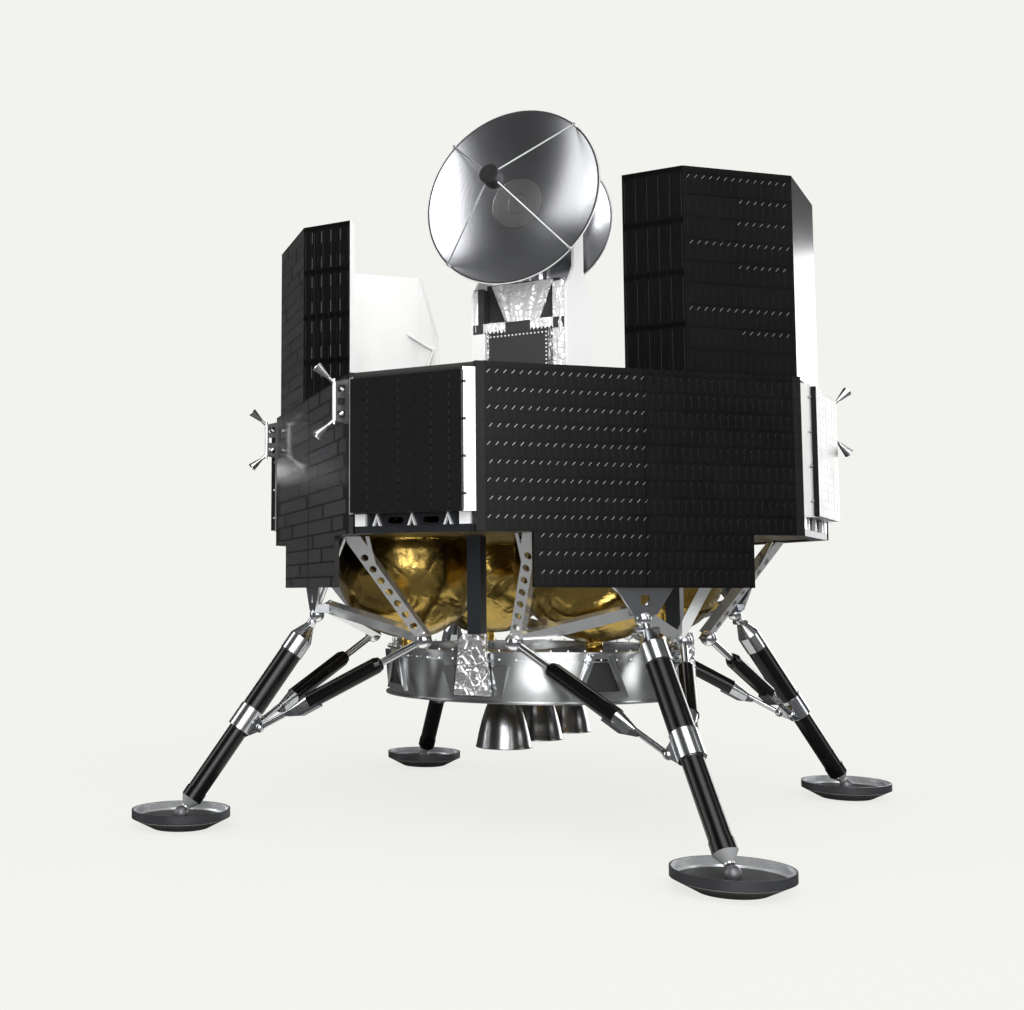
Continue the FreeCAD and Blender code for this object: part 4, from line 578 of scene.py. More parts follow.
def brace_finish():
    """Side braces: black tube, bright rod and end cone, dull guard plate."""
    coat = Finish("brace_tube_and_fittings", (0.012, 0.012, 0.013), 0.12, Specular_IOR_Level=0.3)
    rod_end, cone_start, guard_radius, fork_radius = 0.246, 0.6905, 0.0445, 0.0165
    far, near = far_and_near(coat)
    far, near, z = far - NODE_OUT, near - NODE_SIDE, coat.z - NODE_HIGH
    along = far * BRACE_OUT - near * BRACE_IN - z * BRACE_DOWN
    radius = length(far - along * BRACE_OUT, near + along * BRACE_IN, z + along * BRACE_DOWN)
    guard = smaller((radius > guard_radius) + band(along, 0.79, 0.86) * (radius > fork_radius), 1.0)
    bright = smaller((along < rod_end) + (along > cone_start), 1.0)
    blotch, colour, rough = tube_and_metal(coat, bright, 7.0, (0.45, 0.46, 0.48), (0.72, 0.73, 0.75))
    dull = blend(blotch, (0.09, 0.09, 0.10), (0.16, 0.16, 0.18))
    return coat.set(colour=blend(guard, colour, dull),
                    roughness=rough + guard * 0.14, metallic=larger(bright, guard * 0.8),
                    normal=bump(blotch, 0.0006, 0.3))


def pad_finish():
    """Foot pads: dull graphite outside, bright band inside the rim, dark floor, bright fins."""
    coat = Finish("foot_pad_graphite", (0.055, 0.056, 0.062), 0.42, 0.35)
    floor_radius, fin_radius, joint_radius = 0.245, 0.075, 0.045
    far, near = far_and_near(coat)
    z = coat.z
    radius = length(far - PAD_OUT, near)
    rim = band(radius, 0.232, 0.2475) * (z > 0.046)
    fins = (radius < fin_radius) * (z > 0.012)
    joint = (radius < joint_radius) * (z > 0.03)
    floor = (radius < floor_radius) * (z > 0.006)
    blotch = noise(coat.place, 9.0, 5.0, 0.65)
    graphite = blend(blotch, (0.020, 0.021, 0.024), (0.042, 0.043, 0.050))
    shade = blend(floor, graphite, blend(blotch, (0.050, 0.053, 0.050), (0.090, 0.095, 0.090)))
    bright = smaller(rim + fins * (1.0 - joint), 1.0)
    colour = blend(joint, blend(bright, shade, (0.78, 0.79, 0.81)), (0.16, 0.16, 0.17))
    return coat.set(colour=colour, roughness=mix(bright, 0.36 + blotch * 0.2, 0.24),
                    metallic=mix(larger(bright, joint), 0.35, 0.75),
                    normal=bump(noise(coat.place, 160.0, 2.0) * (1.0 - bright), 0.0003, 0.4))


def ring_finish():
    """Thrust ring: rolled aluminium, with a black blanket behind each bracket's window."""
    coat = Finish("thrust_ring_aluminium", (0.46, 0.47, 0.48), 0.26, 1.0)
    window_top, window_height, window_half, window_spread = 0.911, 0.219, 0.040, 0.088
    x, y, z = coat.x, coat.y, coat.z
    _, near = far_and_near(coat)
    radius = length(x, y)
    half = (window_top - z) / window_height * window_spread + window_half
    blanket = (radius > 0.815) * (radius < 0.8225) * (near < half) * band(z, 0.700, 0.905)
    streak = noise(joined(maths("ARCTAN2", y, x) * 2.0, radius, z * 30.0), 6.0)
    blotch = noise(coat.place, 3.0, 3.0, 0.55)
    metal = blend(blotch, (0.42, 0.43, 0.44), (0.58, 0.59, 0.60))
    return coat.set(colour=blend(blanket, metal, (0.012, 0.012, 0.013)), metallic=1.0 - blanket,
                    roughness=0.15 + blotch * 0.08 + streak * 0.03 + blanket * 0.3,
                    normal=bump(noise(coat.place, 2.2, 1.0), 0.05, 0.6))


def column_finish():
    """Columns: dark structure down to feet wrapped in bright foil in four lengths."""
    coat = Finish("column_and_foil_foot", (0.022, 0.026, 0.032), 0.42, 0.3)
    foot_top, tie_top, first_tie, wrap = 1.0075, 1.0, 0.93, 0.0755
    z = coat.z
    foot = z < foot_top
    _, height = crinkle(coat.place, 26.0, 0.010)
    gap = band((tie_top - z) / wrap % 1.0, 0.0, 0.10) * foot * (z < first_tie)
    cloud = noise(coat.place, 4.0)
    steel = blend(cloud, (0.016, 0.019, 0.024), (0.034, 0.040, 0.050))
    bright = blend(noise(coat.place, 12.0, 2.0), (0.62, 0.63, 0.64), (0.94, 0.94, 0.94))
    return coat.set(colour=blend(gap, blend(foot, steel, bright), (0.03, 0.03, 0.03)),
                    roughness=mix(foot, 0.40 + cloud * 0.12, 0.24), metallic=mix(foot, 0.3, 0.85),
                    normal=bump(height * foot, 0.010))


def bell_finish():
    """Main engine nozzles: dark polished alloy, dull and sooty inside."""
    coat = Finish("nozzle_alloy", (0.16, 0.16, 0.17), 0.16, 1.0)
    rim, bell_height = 0.40, 0.34
    z = coat.z
    inside = coat.facing()[2] < -0.1
    ring = noise(joined(0.0, 0.0, z), 60.0, 2.0)
    heat = ramp((z - rim) / bell_height,
                (0.0, (0.30, 0.30, 0.31)), (0.5, (0.24, 0.24, 0.25)), (1.0, (0.20, 0.19, 0.18)))
    return coat.set(colour=blend(inside, heat, (0.04, 0.038, 0.036)),
                    roughness=0.18 + ring * 0.06 + inside * 0.35, normal=bump(ring, 0.0006, 0.3))


def frame_finish():
    """Ring beam: dark web, bright stiffeners standing out of it."""
    coat = Finish("ring_beam", (0.03, 0.032, 0.035), 0.35, 0.6)
    web_out, web_top = 1.5172, 1.533
    x, y, z = coat.x, coat.y, coat.z
    bright = ((abs(x) + abs(y)) / SQRT2 > web_out) * (z > web_top)
    blotch = noise(coat.place, 8.0, 4.0)
    dark = blend(blotch, (0.02, 0.022, 0.026), (0.045, 0.047, 0.055))
    return coat.set(colour=blend(bright, dark, (0.85, 0.86, 0.87)), roughness=mix(bright, 0.38, 0.25),
                    metallic=0.7 - bright * 0.45, normal=bump(blotch, 0.0006, 0.4))


def module_finish():
    """Corner boxes: bright side walls; the slanted face behind the panel, top and bottom are dark."""
    coat = Finish("corner_box_white", (0.80, 0.80, 0.79), 0.42, Coat_Weight=0.2)
    nx, ny, nz = coat.facing()
    slanted = smaller(abs(nx), abs(ny)) > 0.5
    blotch = noise(coat.place, 6.0, 5.0, 0.65)
    white = blend(blotch, (0.86, 0.86, 0.85), (0.95, 0.95, 0.94))
    dark = smaller(slanted + (abs(nz) > 0.5), 1.0)
    return coat.set(colour=blend(dark, white, (0.02, 0.02, 0.021)), roughness=0.26 + blotch * 0.10,
                    metallic=0.8 - slanted * 0.8, normal=bump(noise(coat.place, 240.0, 2.0), 0.0001, 0.3))


def mast_finish():
    """Mast: black covers, foil-wrapped posts, ledge and edges, pale unit."""
    coat = Finish("mast_covers_and_foil", (0.03, 0.03, 0.031), 0.42)
    place = coat.place
    x, y, z = coat.x, coat.y, coat.z
    ahead, aside = abs(x + y) / SQRT2, (x - y) / SQRT2
    side = abs(aside)
    post_in, post_top, cover_top = 0.2125, 2.74, 2.7505
    post = (aside * maths("SIGN", x + y) < -post_in) + (side > post_in) * (z < post_top)
    cover = (ahead > 0.2005) * (side < 0.1785) * band(z, 2.31, 2.75)
    ledge = (ahead > 0.2065) * band(z, 2.690, 2.751)
    unit = (ahead > 0.2105) * (side > 0.185) * (z < 2.691)
    black = smaller(cover + (z > cover_top) * (1.0 - post) + ledge, 1.0)
    _, height = crinkle(place, 22.0, 0.012)
    foil = blend(noise(place, 14.0, 2.0), (0.55, 0.56, 0.58), (0.92, 0.92, 0.93))
    dark = blend(noise(place, 5.0), (0.030, 0.031, 0.031), (0.042, 0.043, 0.042))
    free = larger(black, unit)
    return coat.set(colour=blend(unit, blend(black, foil, dark), (0.86, 0.86, 0.85)),
                    roughness=mix(free, 0.22, 0.45), metallic=(1.0 - free) * 0.9,
                    normal=bump(height * (1.0 - free), 0.012))


def from_dish_axis(coat, sign):
    """Distance from the axis of a dish at rest; the front dish has sign -1 and the rear one 1."""
    x, y, z = coat.x, coat.y, coat.z
    out, pivot = math.cos(REST_TILT) / SQRT2 * sign, sign * PIVOT_OUT / SQRT2
    px, py, pz = x - pivot, y - pivot, z - PIVOT_HIGH
    depth = px * out + py * out + pz * math.sin(REST_TILT)
    return maths("SQRT", larger(px * px + py * py + pz * pz - depth * depth, 0.0))


def dish_finish(name, sign, radius):
    """Reflector: polished face, with a plain disc in the middle and a rim painted pale as a painted
    reflection.
    """
    coat = Finish(name, (0.60, 0.60, 0.61), 0.24, 1.0)
    disc_radius, rim_width = 0.150, 0.006
    reach = from_dish_axis(coat, sign)
    disc, rim = reach < disc_radius, reach > radius - rim_width
    ring = band(reach, 0.1485, 0.1525) + band(reach, 0.058, 0.061)
    spin, cloud = noise(joined(0.0, 0.0, reach), 90.0), noise(coat.place, 4.0)
    face = blend(cloud, (0.39, 0.395, 0.42), (0.46, 0.465, 0.49))
    colour = blend(smaller(ring, 1.0), blend(disc, face, (0.40, 0.40, 0.40)), (0.16, 0.16, 0.16))
    # painted reflection: the rim is painted pale and half metallic, standing in for the pale surroundings
    # that it reflects
    return coat.set(colour=blend(rim, colour, (0.85, 0.85, 0.86)), metallic=1.0 - rim * 0.5,
                    roughness=0.19 + spin * 0.04 + cloud * 0.03 + disc * 0.06 + rim * 0.15,
                    normal=bump(spin - ring, 0.0006, 0.35))


def feed_finish(name, sign):
    """Feed: dark horn carried by bright rods."""
    coat = Finish(name, (0.10, 0.10, 0.11), 0.3, 0.8)
    horn_radius = 0.0555
    horn = from_dish_axis(coat, sign) < horn_radius
    blotch = noise(coat.place, 20.0)
    dark = blend(blotch, (0.05, 0.05, 0.052), (0.11, 0.11, 0.115))
    return coat.set(colour=blend(horn, (0.66, 0.67, 0.68), dark), roughness=0.24 + blotch * 0.12,
                    metallic=0.85, normal=bump(blotch, 0.0005, 0.3))


def pod_finish():
    """Thruster pods: dark bracket, bright rod and nozzles."""
    coat = Finish("thruster_pod_metal", (0.6, 0.6, 0.61), 0.26, 1.0)
    pod_side, pod_high, plate_out = 0.830, 2.142, 1.391
    far, near = far_and_near(coat)
    z = coat.z
    plate = (abs(near - pod_side) < 0.0115) * (abs(z - pod_high) < 0.113) * (far < plate_out)
    blotch = noise(coat.place, 16.0)
    bright = blend(blotch, (0.52, 0.53, 0.55), (0.82, 0.82, 0.83))
    dark = blend(blotch, (0.030, 0.030, 0.033), (0.075, 0.075, 0.080))
    return coat.set(colour=blend(plate, bright, dark), roughness=0.22 + blotch * 0.12,
                    metallic=mix(plate, 1.0, 0.4), normal=bump(blotch, 0.0004, 0.3))


def dress():
    """Gives every solid its finish."""
    satin = brushed("satin_aluminium", (0.84, 0.85, 0.88), 0.14, 0.90, wear=0.06)
    gold = foil_finish("gold_foil", (0.86, 0.58, 0.14), (0.42, 0.27, 0.05), 5.0, 0.028, 0.20)
    alloy = brushed("nozzle_core", (0.16, 0.16, 0.17), 0.2)
    bricks, dashes, screen, pod = coursed_finish(), dashed_finish(), screen_finish(), pod_finish()
    table = {
        "side_panel_front": dashes, "side_panel_right": dashes,
        "side_panel_left": bricks, "side_panel_rear": bricks,
        "corner_panels": corner_cell_finish(), "corner_modules": module_finish(),
        "tower_right": screen, "tower_left": screen,
        "thrust_ring": ring_finish(), "corner_columns": column_finish(), "lower_frame": frame_finish(),
        "lower_deck": foil_finish("deck_underside_foil", (0.40, 0.30, 0.12), (0.10, 0.08, 0.04),
                                  7.0, 0.02, 0.3),
        "top_deck": brushed("deck_panel", (0.055, 0.056, 0.050), 0.4, 0.2, wear=0.3),
        "engine_mount": brushed("engine_beam_metal", (0.36, 0.37, 0.39)),
        "mast_box": mast_finish(),
        "mast_plates": brushed("mast_plate_white", (0.95, 0.95, 0.95), 0.36, 0.0, wear=0.02),
        "gimbal_supports": foil_finish("silver_foil", (0.90, 0.90, 0.91), (0.55, 0.56, 0.58), 16.0, 0.014),
        "front_dish": dish_finish("front_reflector", -1, 0.525),
        "rear_dish": dish_finish("rear_reflector", 1, 0.400),
        "front_feed": feed_finish("front_feed_metal", -1), "rear_feed": feed_finish("rear_feed_metal", 1),
        "front_yoke": satin, "rear_yoke": satin,
    }
    legs = {"leg_frame_": leg_frame_finish(), "leg_strut_": strut_finish(), "leg_braces_": brace_finish(),
            "foot_pad_": pad_finish(), "tank_": gold}
    for side in SIDES:
        table.update((start + side, coat) for start, coat in legs.items())
    table.update(("engine_bell_" + name, alloy) for name in ("front", "centre", "rear"))
    table.update(("thruster_pod_" + name, pod)
                 for name in ("front_left", "rear_left", "front_right", "rear_right"))
    for name, coat in table.items():
        slots = bpy.data.objects[name].data.materials
        slots.clear()
        slots.append(coat.material)


# ---------------- camera, light and floor

PALE = (0.888, 0.896, 0.855)
WORLD_GREY = (0.50, 0.50, 0.505)


def camera():
    data = bpy.data.cameras.new("camera")
    data.sensor_width, data.lens, data.clip_end = 36, 45.03, 200
    data.shift_x, data.shift_y = 0.1666, -0.0292
    roll = Matrix.Rotation(0.0021, 3, "Z")
    ahead = Vector((0.2534, 0.9630, 0.0908)).normalized()
    right = ahead.cross(Vector((0, 0, 1))).normalized()
    turn = Matrix((right, right.cross(ahead), -ahead)).transposed() @ roll
    item = linked("camera", data)
    item.matrix_world = Matrix.Translation((-2.9289, -6.8003, 1.2206)) @ turn.to_4x4()
    bpy.context.scene.camera = item


def seen_rays(graph):
    """1 for rays that see the backdrop: from the camera, off gloss and through glass."""
    path = graph.add("LightPath").socket.node
    seen = [Value(graph, path.outputs["Is %s Ray" % kind]) for kind in ("Camera", "Glossy", "Transmission")]
    return larger(larger(seen[0], seen[1]), seen[2])


def surroundings():
    """Pale world, and a pale floor that keeps a soft shadow near the feet."""
    world = bpy.data.worlds.new("studio")
    bpy.context.scene.world = world
    world.use_nodes = True
    sky = Graph(world.node_tree)
    sky.nodes.clear()
    light, plain = sky.add("Background", Color=WORLD_GREY), sky.add("Background", Color=PALE)
    sky.add("OutputWorld", i0=sky.add("MixShader", i0=seen_rays(sky), i1=light, i2=plain))

    shape = bmesh.new()
    bmesh.ops.create_circle(shape, cap_ends=True, segments=96, radius=90)
    coat = Finish("floor", PALE, 0.9)
    far = coat.add("VectorMath", {"operation": "LENGTH"}, 1, i0=coat.place)
    share = ramp(far / 10.0, (0.18, 0.84), (0.62, 1.0)) * seen_rays(coat)
    mixer = coat.add("MixShader", i0=share, i1=Value(coat, coat.shader.outputs[0]),
                     i2=coat.add("Emission", Color=PALE))
    output = next(node for node in coat.nodes if node.type == "OUTPUT_MATERIAL")
    coat.feed(output.inputs[0], mixer)
    linked("floor", mesh_of(shape, "floor", coat.material))


# soft boxes: azimuth and height in degrees, width and height in degrees, brightness
SOFT_BOXES = {
    "front_box": (252, 29, 40, 66, 3.1),
    "left_box": (164, 20, 28, 50, 1.3),
    "right_box": (325, 17, 16, 45, 1.7),
    "rear_box": (32, 6, 35, 24, 3.4),
    "side_glow": (281, 14, 18, 36, 1.4),
    "front_strip": (247, 17, 3.0, 40, 10.0),
    "left_strip": (158, 20, 2.5, 40, 5.0),
    "right_strip": (325, 17, 2.5, 40, 5.0),
    "left_spot_high": (103.6, 8.2, 1.6, 0.9, 3.2),
    "left_spot_low": (104.0, 5.6, 1.8, 0.8, 12.0),
}
BOX_DISTANCE = 16.0
FLAG_RADIUS, FLAG_STEP = 24.0, 4
CLOTH_HOLE, CLOTH_HIGH = 1.45, 0.003


def direction(azimuth, rise):
    turn, lift = math.radians(azimuth), math.radians(rise)
    return Vector((math.cos(turn) * math.cos(lift), math.sin(turn) * math.cos(lift), math.sin(lift)))


def lamps():
    """Soft boxes round the lander, all facing its middle."""
    middle = Vector((0, 0, 1.8))
    for name, (azimuth, rise, wide, high, bright) in SOFT_BOXES.items():
        data = bpy.data.lights.new(name, "AREA")
        data.shape = "RECTANGLE"
        data.size, data.size_y = (2 * BOX_DISTANCE * math.tan(math.radians(angle / 2))
                                  for angle in (wide, high))
        data.energy = bright * math.pi * data.size * data.size_y
        item = linked(name, data)
        out = direction(azimuth, rise)
        item.location = middle + out * BOX_DISTANCE
        item.rotation_euler = out.to_track_quat("Z", "Y").to_euler()
        item.visible_camera = False


def flags():
    """Black cloth round the set, open where the wide soft boxes stand, and over the floor round the lander.

    Only gloss sees it, so the metal has dark and bright parts as in a product studio.
    """
    windows = [box[:4] for box in SOFT_BOXES.values() if box[2] > 10]
    shape = bmesh.new()
    spots = {}

    def corner(azimuth, rise):
        key = (azimuth % 360, rise)
        if key not in spots:
            spots[key] = shape.verts.new(direction(azimuth, rise) * FLAG_RADIUS)
        return spots[key]

    for azimuth in range(0, 360, FLAG_STEP):
        for rise in range(-8, 88, FLAG_STEP):
            middle, level = azimuth + FLAG_STEP / 2, rise + FLAG_STEP / 2
            if not any(abs((middle - across + 180) % 360 - 180) < wide / 2 and abs(level - up) < high / 2
                       for across, up, wide, high in windows):
                shape.faces.new([corner(azimuth, rise), corner(azimuth, rise + FLAG_STEP),
                                 corner(azimuth + FLAG_STEP, rise + FLAG_STEP),
                                 corner(azimuth + FLAG_STEP, rise)])
    edges = []
    for radius in (FLAG_RADIUS, CLOTH_HOLE):
        made = bmesh.ops.create_circle(shape, cap_ends=False, segments=48, radius=radius,
                                       matrix=Matrix.Translation((0, 0, CLOTH_HIGH)))
        edges += dict.fromkeys(edge for vert in made["verts"] for edge in vert.link_edges)
    bmesh.ops.bridge_loops(shape, edges=edges)
    cloth = Finish("black_cloth", (0.1, 0.1, 0.1), 0.9)
    grey = ramp(cloth.z / FLAG_RADIUS, (0.0, 0.16), (0.02, 0.06), (0.7, 0.10), (1.0, 0.30))
    cloth.set(colour=blend(noise(cloth.place, 3.0), grey, (0.08, 0.08, 0.08)))
    item = linked("black_flags", mesh_of(shape, "black_flags", cloth.material))
    item.visible_camera = item.visible_diffuse = item.visible_shadow = item.visible_transmission = False


# ---------------- foil and blankets

def foil_sheet(coat, azimuth, out, corners, columns, rows, depth, seed, slit=0.0):
    """Creased foil on an upright wall, over a patch given by its low left, low right, high right and high
    left corners, each (across, height) or (across, height, more out).

    The points between the edges stand out at random, in flat facets; slit leaves its lower edge scalloped.
    """
    lift = 0.002
    place = wall(azimuth, out)
    low_left, low_right, high_right, high_left = (place @ Vector((*c, 0.0)[:3]) for c in corners)
    away = (low_right - low_left).cross(high_left - low_left).normalized()
    draw = random.Random(seed)
    shape = bmesh.new()
    grid = []
    for row in range(rows + 1):
        v = row / rows
        line = []
        for column in range(columns + 1):
            u = column / columns
            inner = 0 < row < rows and 0 < column < columns
            du, dv = ((draw.random() - 0.5) * 0.7, (draw.random() - 0.5) * 0.7) if inner else (0.0, 0.0)
            s, t = u + du / columns, v + dv / rows
            if slit and row == 0:
                t = slit * (column % 2)
            spot = (low_left * (1 - s) + low_right * s) * (1 - t) + (high_left * (1 - s) + high_right * s) * t
            rim = min(1.0, 0.15 + 4 * min(u, 1 - u)) * (0.4 if row in (0, rows) else 1.0)
            line.append(shape.verts.new(spot + away * (lift + depth * draw.random() ** 1.6 * rim)))
        grid.append(line)
    for low, high in zip(grid, grid[1:]):
        for column in range(columns):
            a, b, c, d = low[column], low[column + 1], high[column + 1], high[column]
            faces = ((a, b, c), (a, c, d)) if draw.random() < 0.5 else ((a, b, d), (b, c, d))
            for face in faces:
                shape.faces.new(face)
    return mesh_of(shape, "foil_sheet", coat.material)


def rectangle(left, right, low, high):
    return [(left, low), (right, low), (right, high), (left, high)]


def tank_skins(gold):
    """Loose gold blankets round the lower part of each tank: broad soft folds and a few sharp ones."""
    waves.seed_set(FOLD_SEED)  # without a seed, the vectors of this noise follow the clock
    radius, low, gap = TANK_RADIUS + 0.002, TANK_LOW, 0.003
    turns, bends, straights = 132, 40, 8
    for name, azimuth in SIDES.items():
        middle = direction(azimuth, 0) * TANK_OUT
        shape = bmesh.new()
        rings = [[shape.verts.new(middle + Vector((0, 0, low - radius - 0.002)))]]
        for step in range(1, bends + straights + 1):
            angle = math.pi / 2 * min(step / bends, 1)
            out, down = (math.sin(angle), math.cos(angle)) if step <= bends else (1, 0)
            straight = (TANK_SKIN_TOP - low) * max(step - bends, 0) / straights
            calm = min(1.0, step / 6) * min(1.0, (bends + straights + 1 - step) / 4)
            ring = []
            for turn in range(turns):
                side = 2 * math.pi * turn / turns
                away = Vector((math.cos(side), math.sin(side), 0))
                spot = middle + away * (radius * out) + Vector((0, 0, low - radius * down + straight))
                warp = waves.noise_vector(spot * 2.1) * 0.12
                swell = 0.5 + 0.45 * waves.noise(spot * 3.1 + warp * 3)
                fold = max(0.0, 1 - abs(waves.noise((spot + warp) * 3.6 + Vector((7, 3, 1)))) * 5.0) ** 2
                ripple = waves.noise(Vector((spot.x * 6, spot.y * 6, spot.z * 16)) + warp * 10)
                lift = 0.004 + 0.010 * swell + 0.007 * fold + 0.0022 * ripple
                lift = gap + (lift - gap) * calm
                ring.append(shape.verts.new(spot + (away * out + Vector((0, 0, -down))) * lift))
            rings.append(ring)
        join_rings(shape, rings)
        mesh = mesh_of(shape, "tank_skin", gold.material, smooth=True)
        piece("tank_skin_" + name, [mesh])


def column_wraps(silver):
    """Four lengths of crumpled foil tied round each column's foot."""
    pitch, wrap, ring_edge, depth = 0.0765, 0.070, 0.694, -0.044
    meshes = []
    for index, azimuth in enumerate(CORNERS):
        for place in range(4):
            high = COLUMN_FOOT_TOP - 0.003 - place * pitch
            low = high - wrap
            wide_high, wide_low = (0.095 - (z - ring_edge) * 0.107 for z in (high, low))
            if place == 0:
                wide_high -= 0.018
            seed = 100 + index * 10 + place
            front = [(-wide_low, low), (wide_low, low), (wide_high, high), (-wide_high, high)]
            left = [(-wide_low, low, depth), (-wide_low, low), (-wide_high, high), (-wide_high, high, depth)]
            right = [(wide_low, low), (wide_low, low, depth), (wide_high, high, depth), (wide_high, high)]
            meshes.append(foil_sheet(silver, azimuth, COLUMN_FOOT_OUT, front, 6, 3, 0.016, seed))
            meshes += [foil_sheet(silver, azimuth, COLUMN_FOOT_OUT, edge, 4, 4, 0.008, seed + 50)
                       for edge in (left, right)]
    piece("column_foot_foil", meshes)


def mast_trim(silver, white):
    """Foil on the mast's posts, ledges and gimbal supports, and the rows of heads on its covers."""
    post_out, ledge_out, funnel_out, cover_out = 0.200, 0.210, 0.138, 0.2095
    post_foot, post_top, ledge_low, ledge_top, funnel_top = 2.30, 2.955, 2.688, 2.752, 2.984
    meshes, heads = [], []
    for azimuth in (225, 45):
        # how far out the sheet is, its corners, columns, rows, depth of its creases, seed and slit
        for patch in (
            (post_out, rectangle(0.206, 0.274, post_foot, post_top), 3, 9, 0.018, 300),
            (post_out, rectangle(-0.275, -0.248, post_foot, post_top), 2, 9, 0.010, 301),
            (ledge_out, rectangle(-0.212, -0.075, ledge_low, ledge_top), 12, 2, 0.014, 309, 0.28),
            (ledge_out, rectangle(0.075, 0.212, ledge_low, ledge_top), 12, 2, 0.014, 311, 0.28),
            (funnel_out, [(-0.098, ledge_top), (0.0, ledge_top), (0.0, funnel_top), (-0.188, funnel_top)],
             5, 2, 0.034, 320 + azimuth),
            (funnel_out, [(0.0, ledge_top), (0.098, ledge_top), (0.188, funnel_top), (0.0, funnel_top)],
             5, 2, 0.034, 330 + azimuth),
        ):
            meshes.append(foil_sheet(silver, azimuth, *patch))
        for across, height, turn, count in ((-0.168, 2.672, 0, 16), (0.168, 2.650, -90, 15)):
            heads.append(HEADS.bake(white, wall(azimuth, cover_out, across, height, turn), Count=count,
                                  Spacing=0.0224, Radius=0.0058, Height=0.004))
    piece("mast_foil", meshes)
    piece("mast_rivets", heads)


# ---------------- nozzles, walls and small marks

def bells(alloy):
    """Main engine nozzles: thin walls that flare to a rolled rim, on a chamber and its head."""
    steps, thickness = 96, 0.0045
    # inner radius and height down the flare
    flare = [(0.064, 0.668), (0.092, 0.604), (0.113, 0.540), (0.130, 0.474)]
    rim = [(0.1420, 0.412), (0.1455, 0.404), (0.1490, 0.4012), (0.1500, 0.4040), (0.1490, 0.4085),
           (0.1465, 0.4130)]
    chamber = [(0.0425, 0.716), (0.040, 0.738), (0.044, 0.752), (0.056, 0.770), (0.056, 0.7875),
               (0.070, 0.788), (0.070, 0.799), (0.0, 0.799)]
    outline = ([(0.0, 0.730), (0.030, 0.728), (0.036, 0.716)] + flare + rim
               + [(radius + thickness, height) for radius, height in reversed(flare)] + chamber)
    for name, step in (("front", -1), ("centre", 0), ("rear", 1)):
        middle = Vector((1, 1, 0)) * (step * ENGINE_PITCH / SQRT2)
        shape = bmesh.new()
        join_rings(shape, [
            [shape.verts.new(middle + direction(360 * turn / steps, 0) * radius + Vector((0, 0, height)))
             for turn in range(steps if radius else 1)] for radius, height in outline])
        bmesh.ops.recalc_face_normals(shape, faces=shape.faces)
        mesh = mesh_of(shape, "bell", alloy.material, smooth=True)
        made = piece("bell_" + name, [mesh])
        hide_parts("engine_bell_" + name)


def right_wall():
    """The right side's wall, which ends at the ring beam: a chamfered sheet with a rebated inner edge."""
    shape = bmesh.new()
    place = wall(SIDES["right"], FACE_OUT)
    loops = []
    for inset, depth in ((0.006, 0.025), (0.006, 0.015), (0.0, 0.015), (0.0, 0.003), (0.003, 0.0)):
        half = FACE_HALF - inset
        loops.append([shape.verts.new(place @ Vector((across, height, -depth)))
                      for across, height in rectangle(-half, half, DECK_EDGE + inset, PANEL_TOP - inset)])
    join_rings(shape, loops)
    shape.faces.new(loops[-1])
    shape.faces.new(reversed(loops[0]))
    made = piece("side_wall_right",
                 [mesh_of(shape, "right_wall", bpy.data.materials["dashed_cells"])])
    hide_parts("side_panel_right")


def panel_lines(bright, dark):
    """Fine upright lines and dark studs on the corner panels."""
    lines, dots = [], []
    for azimuth in CORNERS:
        for index, across in enumerate(PANEL_LINES):
            if index not in (1, 3):
                lines.append(BARS.bake(bright, wall(azimuth, PANEL_OUT, across, 1.917), Columns=1, Rows=15,
                                       Pitch=0.05, Row=0.042, Length=0.026, Thick=0.0026, Proud=0.0004,
                                       Lean=math.pi / 2, Step=0.0))
            dots.append(HEADS.bake(dark, wall(azimuth, PANEL_OUT, across, 1.602, 90), Count=16,
                                   Spacing=0.042, Radius=0.0065, Height=0.0006))
    piece("corner_panel_lines", lines)
    piece("corner_panel_studs", dots)


def side_bolts(metal):
    """Bolts down the sides of the corner boxes, and round the thrust ring's flange."""
    bolts = [HEADS.bake(metal, wall(azimuth, 1.325, side * 0.903, 1.670, 90), Count=4, Spacing=0.172,
                      Radius=0.0085, Height=0.010)
             for azimuth in SIDES.values() for side in (-1, 1)]
    piece("corner_box_bolts", bolts)
    rings = [HEAD_CIRCLE.bake(metal, Matrix.Translation((0, 0, z)), Count=60, Circle=0.829, Radius=0.0065,
                         Height=0.008) for z in (0.922, 0.8765)]
    piece("thrust_ring_bolts", rings)


def wing_cells(metal):
    """Upright strips on the outside of the left screen's wing, in pairs of rows."""
    strips = []
    for drop, count in ((0.070, 4), (0.218, 3)):
        middle = SCREEN_TOP - drop - (count - 1) * WING_ROW / 2
        strips.append(BARS.bake(metal, wall(225, 0.746, -0.944, middle), Columns=4, Rows=count, Pitch=0.062,
                                Row=WING_ROW, Length=0.066, Thick=0.0035, Proud=0.002, Lean=math.pi / 2,
                                Step=0.0))
    piece("wing_strips", strips)


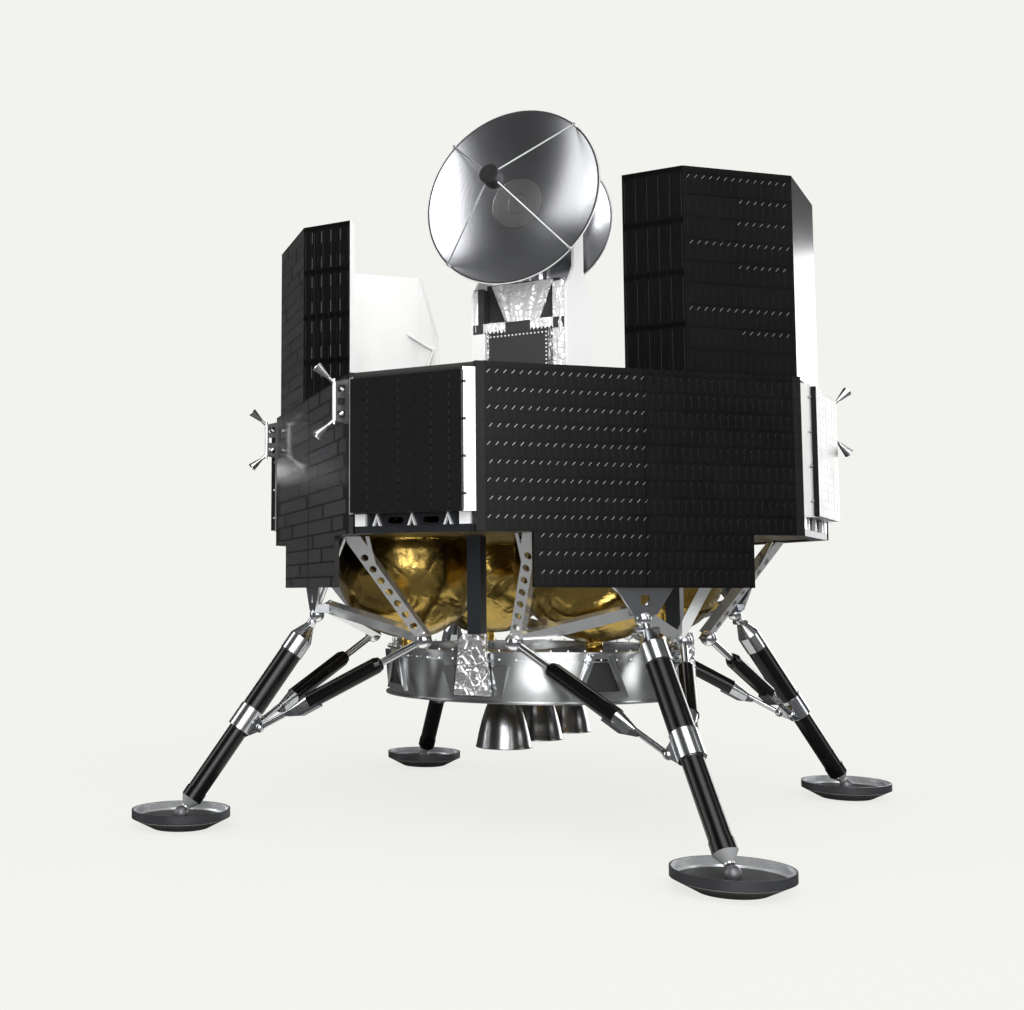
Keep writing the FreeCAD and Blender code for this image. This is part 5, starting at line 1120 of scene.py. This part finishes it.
def cell_dashes(silver):
    """Silver dashes at the corners of the cells, on the wide faces, the aprons and the screens."""

    def rows(azimuth, out, left, right, top, row, count, first=0):
        columns = int((right - left) / CELL_PITCH) + 1
        place = wall(azimuth, out, left + (columns - 1) * CELL_PITCH / 2, top - (count - 1) * row / 2)
        return BARS.bake(silver, place, Columns=columns, Rows=count, Row=row, Pitch=CELL_PITCH, First=first)

    left, right, top, face_rows = CELL_MARGIN - FACE_HALF, FACE_HALF - 0.035, PANEL_TOP - CELL_DROP, 9
    marks = [rows(SIDES[side], FACE_OUT, left, right, top, CELL_ROW, face_rows)
             for side in ("front", "right")]
    marks.append(rows(SIDES["front"], FACE_OUT, -APRON_HALF + 0.034, APRON_HALF - 0.02,
                      top - face_rows * CELL_ROW, CELL_ROW, 3, first=face_rows))
    piece("face_dashes", marks)
    # every third row runs the wall's full width; of the rows between, one goes on and one stops early
    marks = []
    top = SCREEN_TOP - SCREEN_DROP
    for side, out, start, end in (("front", SCREEN_OUT, SCREEN_EDGE + 0.03, FACE_HALF - 0.025),
                                  ("right", 1.256, -0.880, -0.290), ("rear", 1.256, 0.290, 0.880)):
        middle = (start + end) / 2
        marks.append(rows(SIDES[side], out, start, end, top, SCREEN_ROW * 3, 3))
        marks.append(rows(SIDES[side], out, middle, end, top - SCREEN_ROW, SCREEN_ROW * 3, 3, first=1))
        marks.append(rows(SIDES[side], out, middle, end, top - SCREEN_ROW * 2, SCREEN_ROW * 3, 1))
    piece("screen_dashes", marks)


# ---------------- the scene

dress()
right_wall()
cell_dashes(dash_finish())
panel_lines(brushed("panel_line_metal", (0.026, 0.027, 0.026), 0.28, 0.0, Specular_IOR_Level=0.25),
            brushed("panel_stud_dark", (0.0012, 0.0012, 0.0012), 0.28, 0.0, Specular_IOR_Level=0.25))
tank_skins(foil_finish("gold_blanket", (0.72, 0.49, 0.12), (0.28, 0.20, 0.07), 6.0, 0.011, 0.20,
                       fold=0.30, shaded_above=1.36))
column_wraps(foil_finish("foot_foil", (0.95, 0.95, 0.96), (0.55, 0.56, 0.58), 13.0, 0.012, 0.16, 0.85))
bells(bell_finish())
mast_trim(foil_finish("crumpled_silver", (0.98, 0.98, 0.98), (0.88, 0.88, 0.89), 26.0, 0.007, 0.2, 0.30),
          brushed("white_heads", (0.90, 0.90, 0.89), 0.4, 0.0, wear=0.05))
side_bolts(brushed("bolt_metal", (0.55, 0.56, 0.58), 0.3))
wing_cells(brushed("strip_metal", (0.085, 0.085, 0.09), 0.4, 0.2))
bpy.context.scene.view_settings.view_transform = "Standard"
camera()
surroundings()
lamps()
flags()
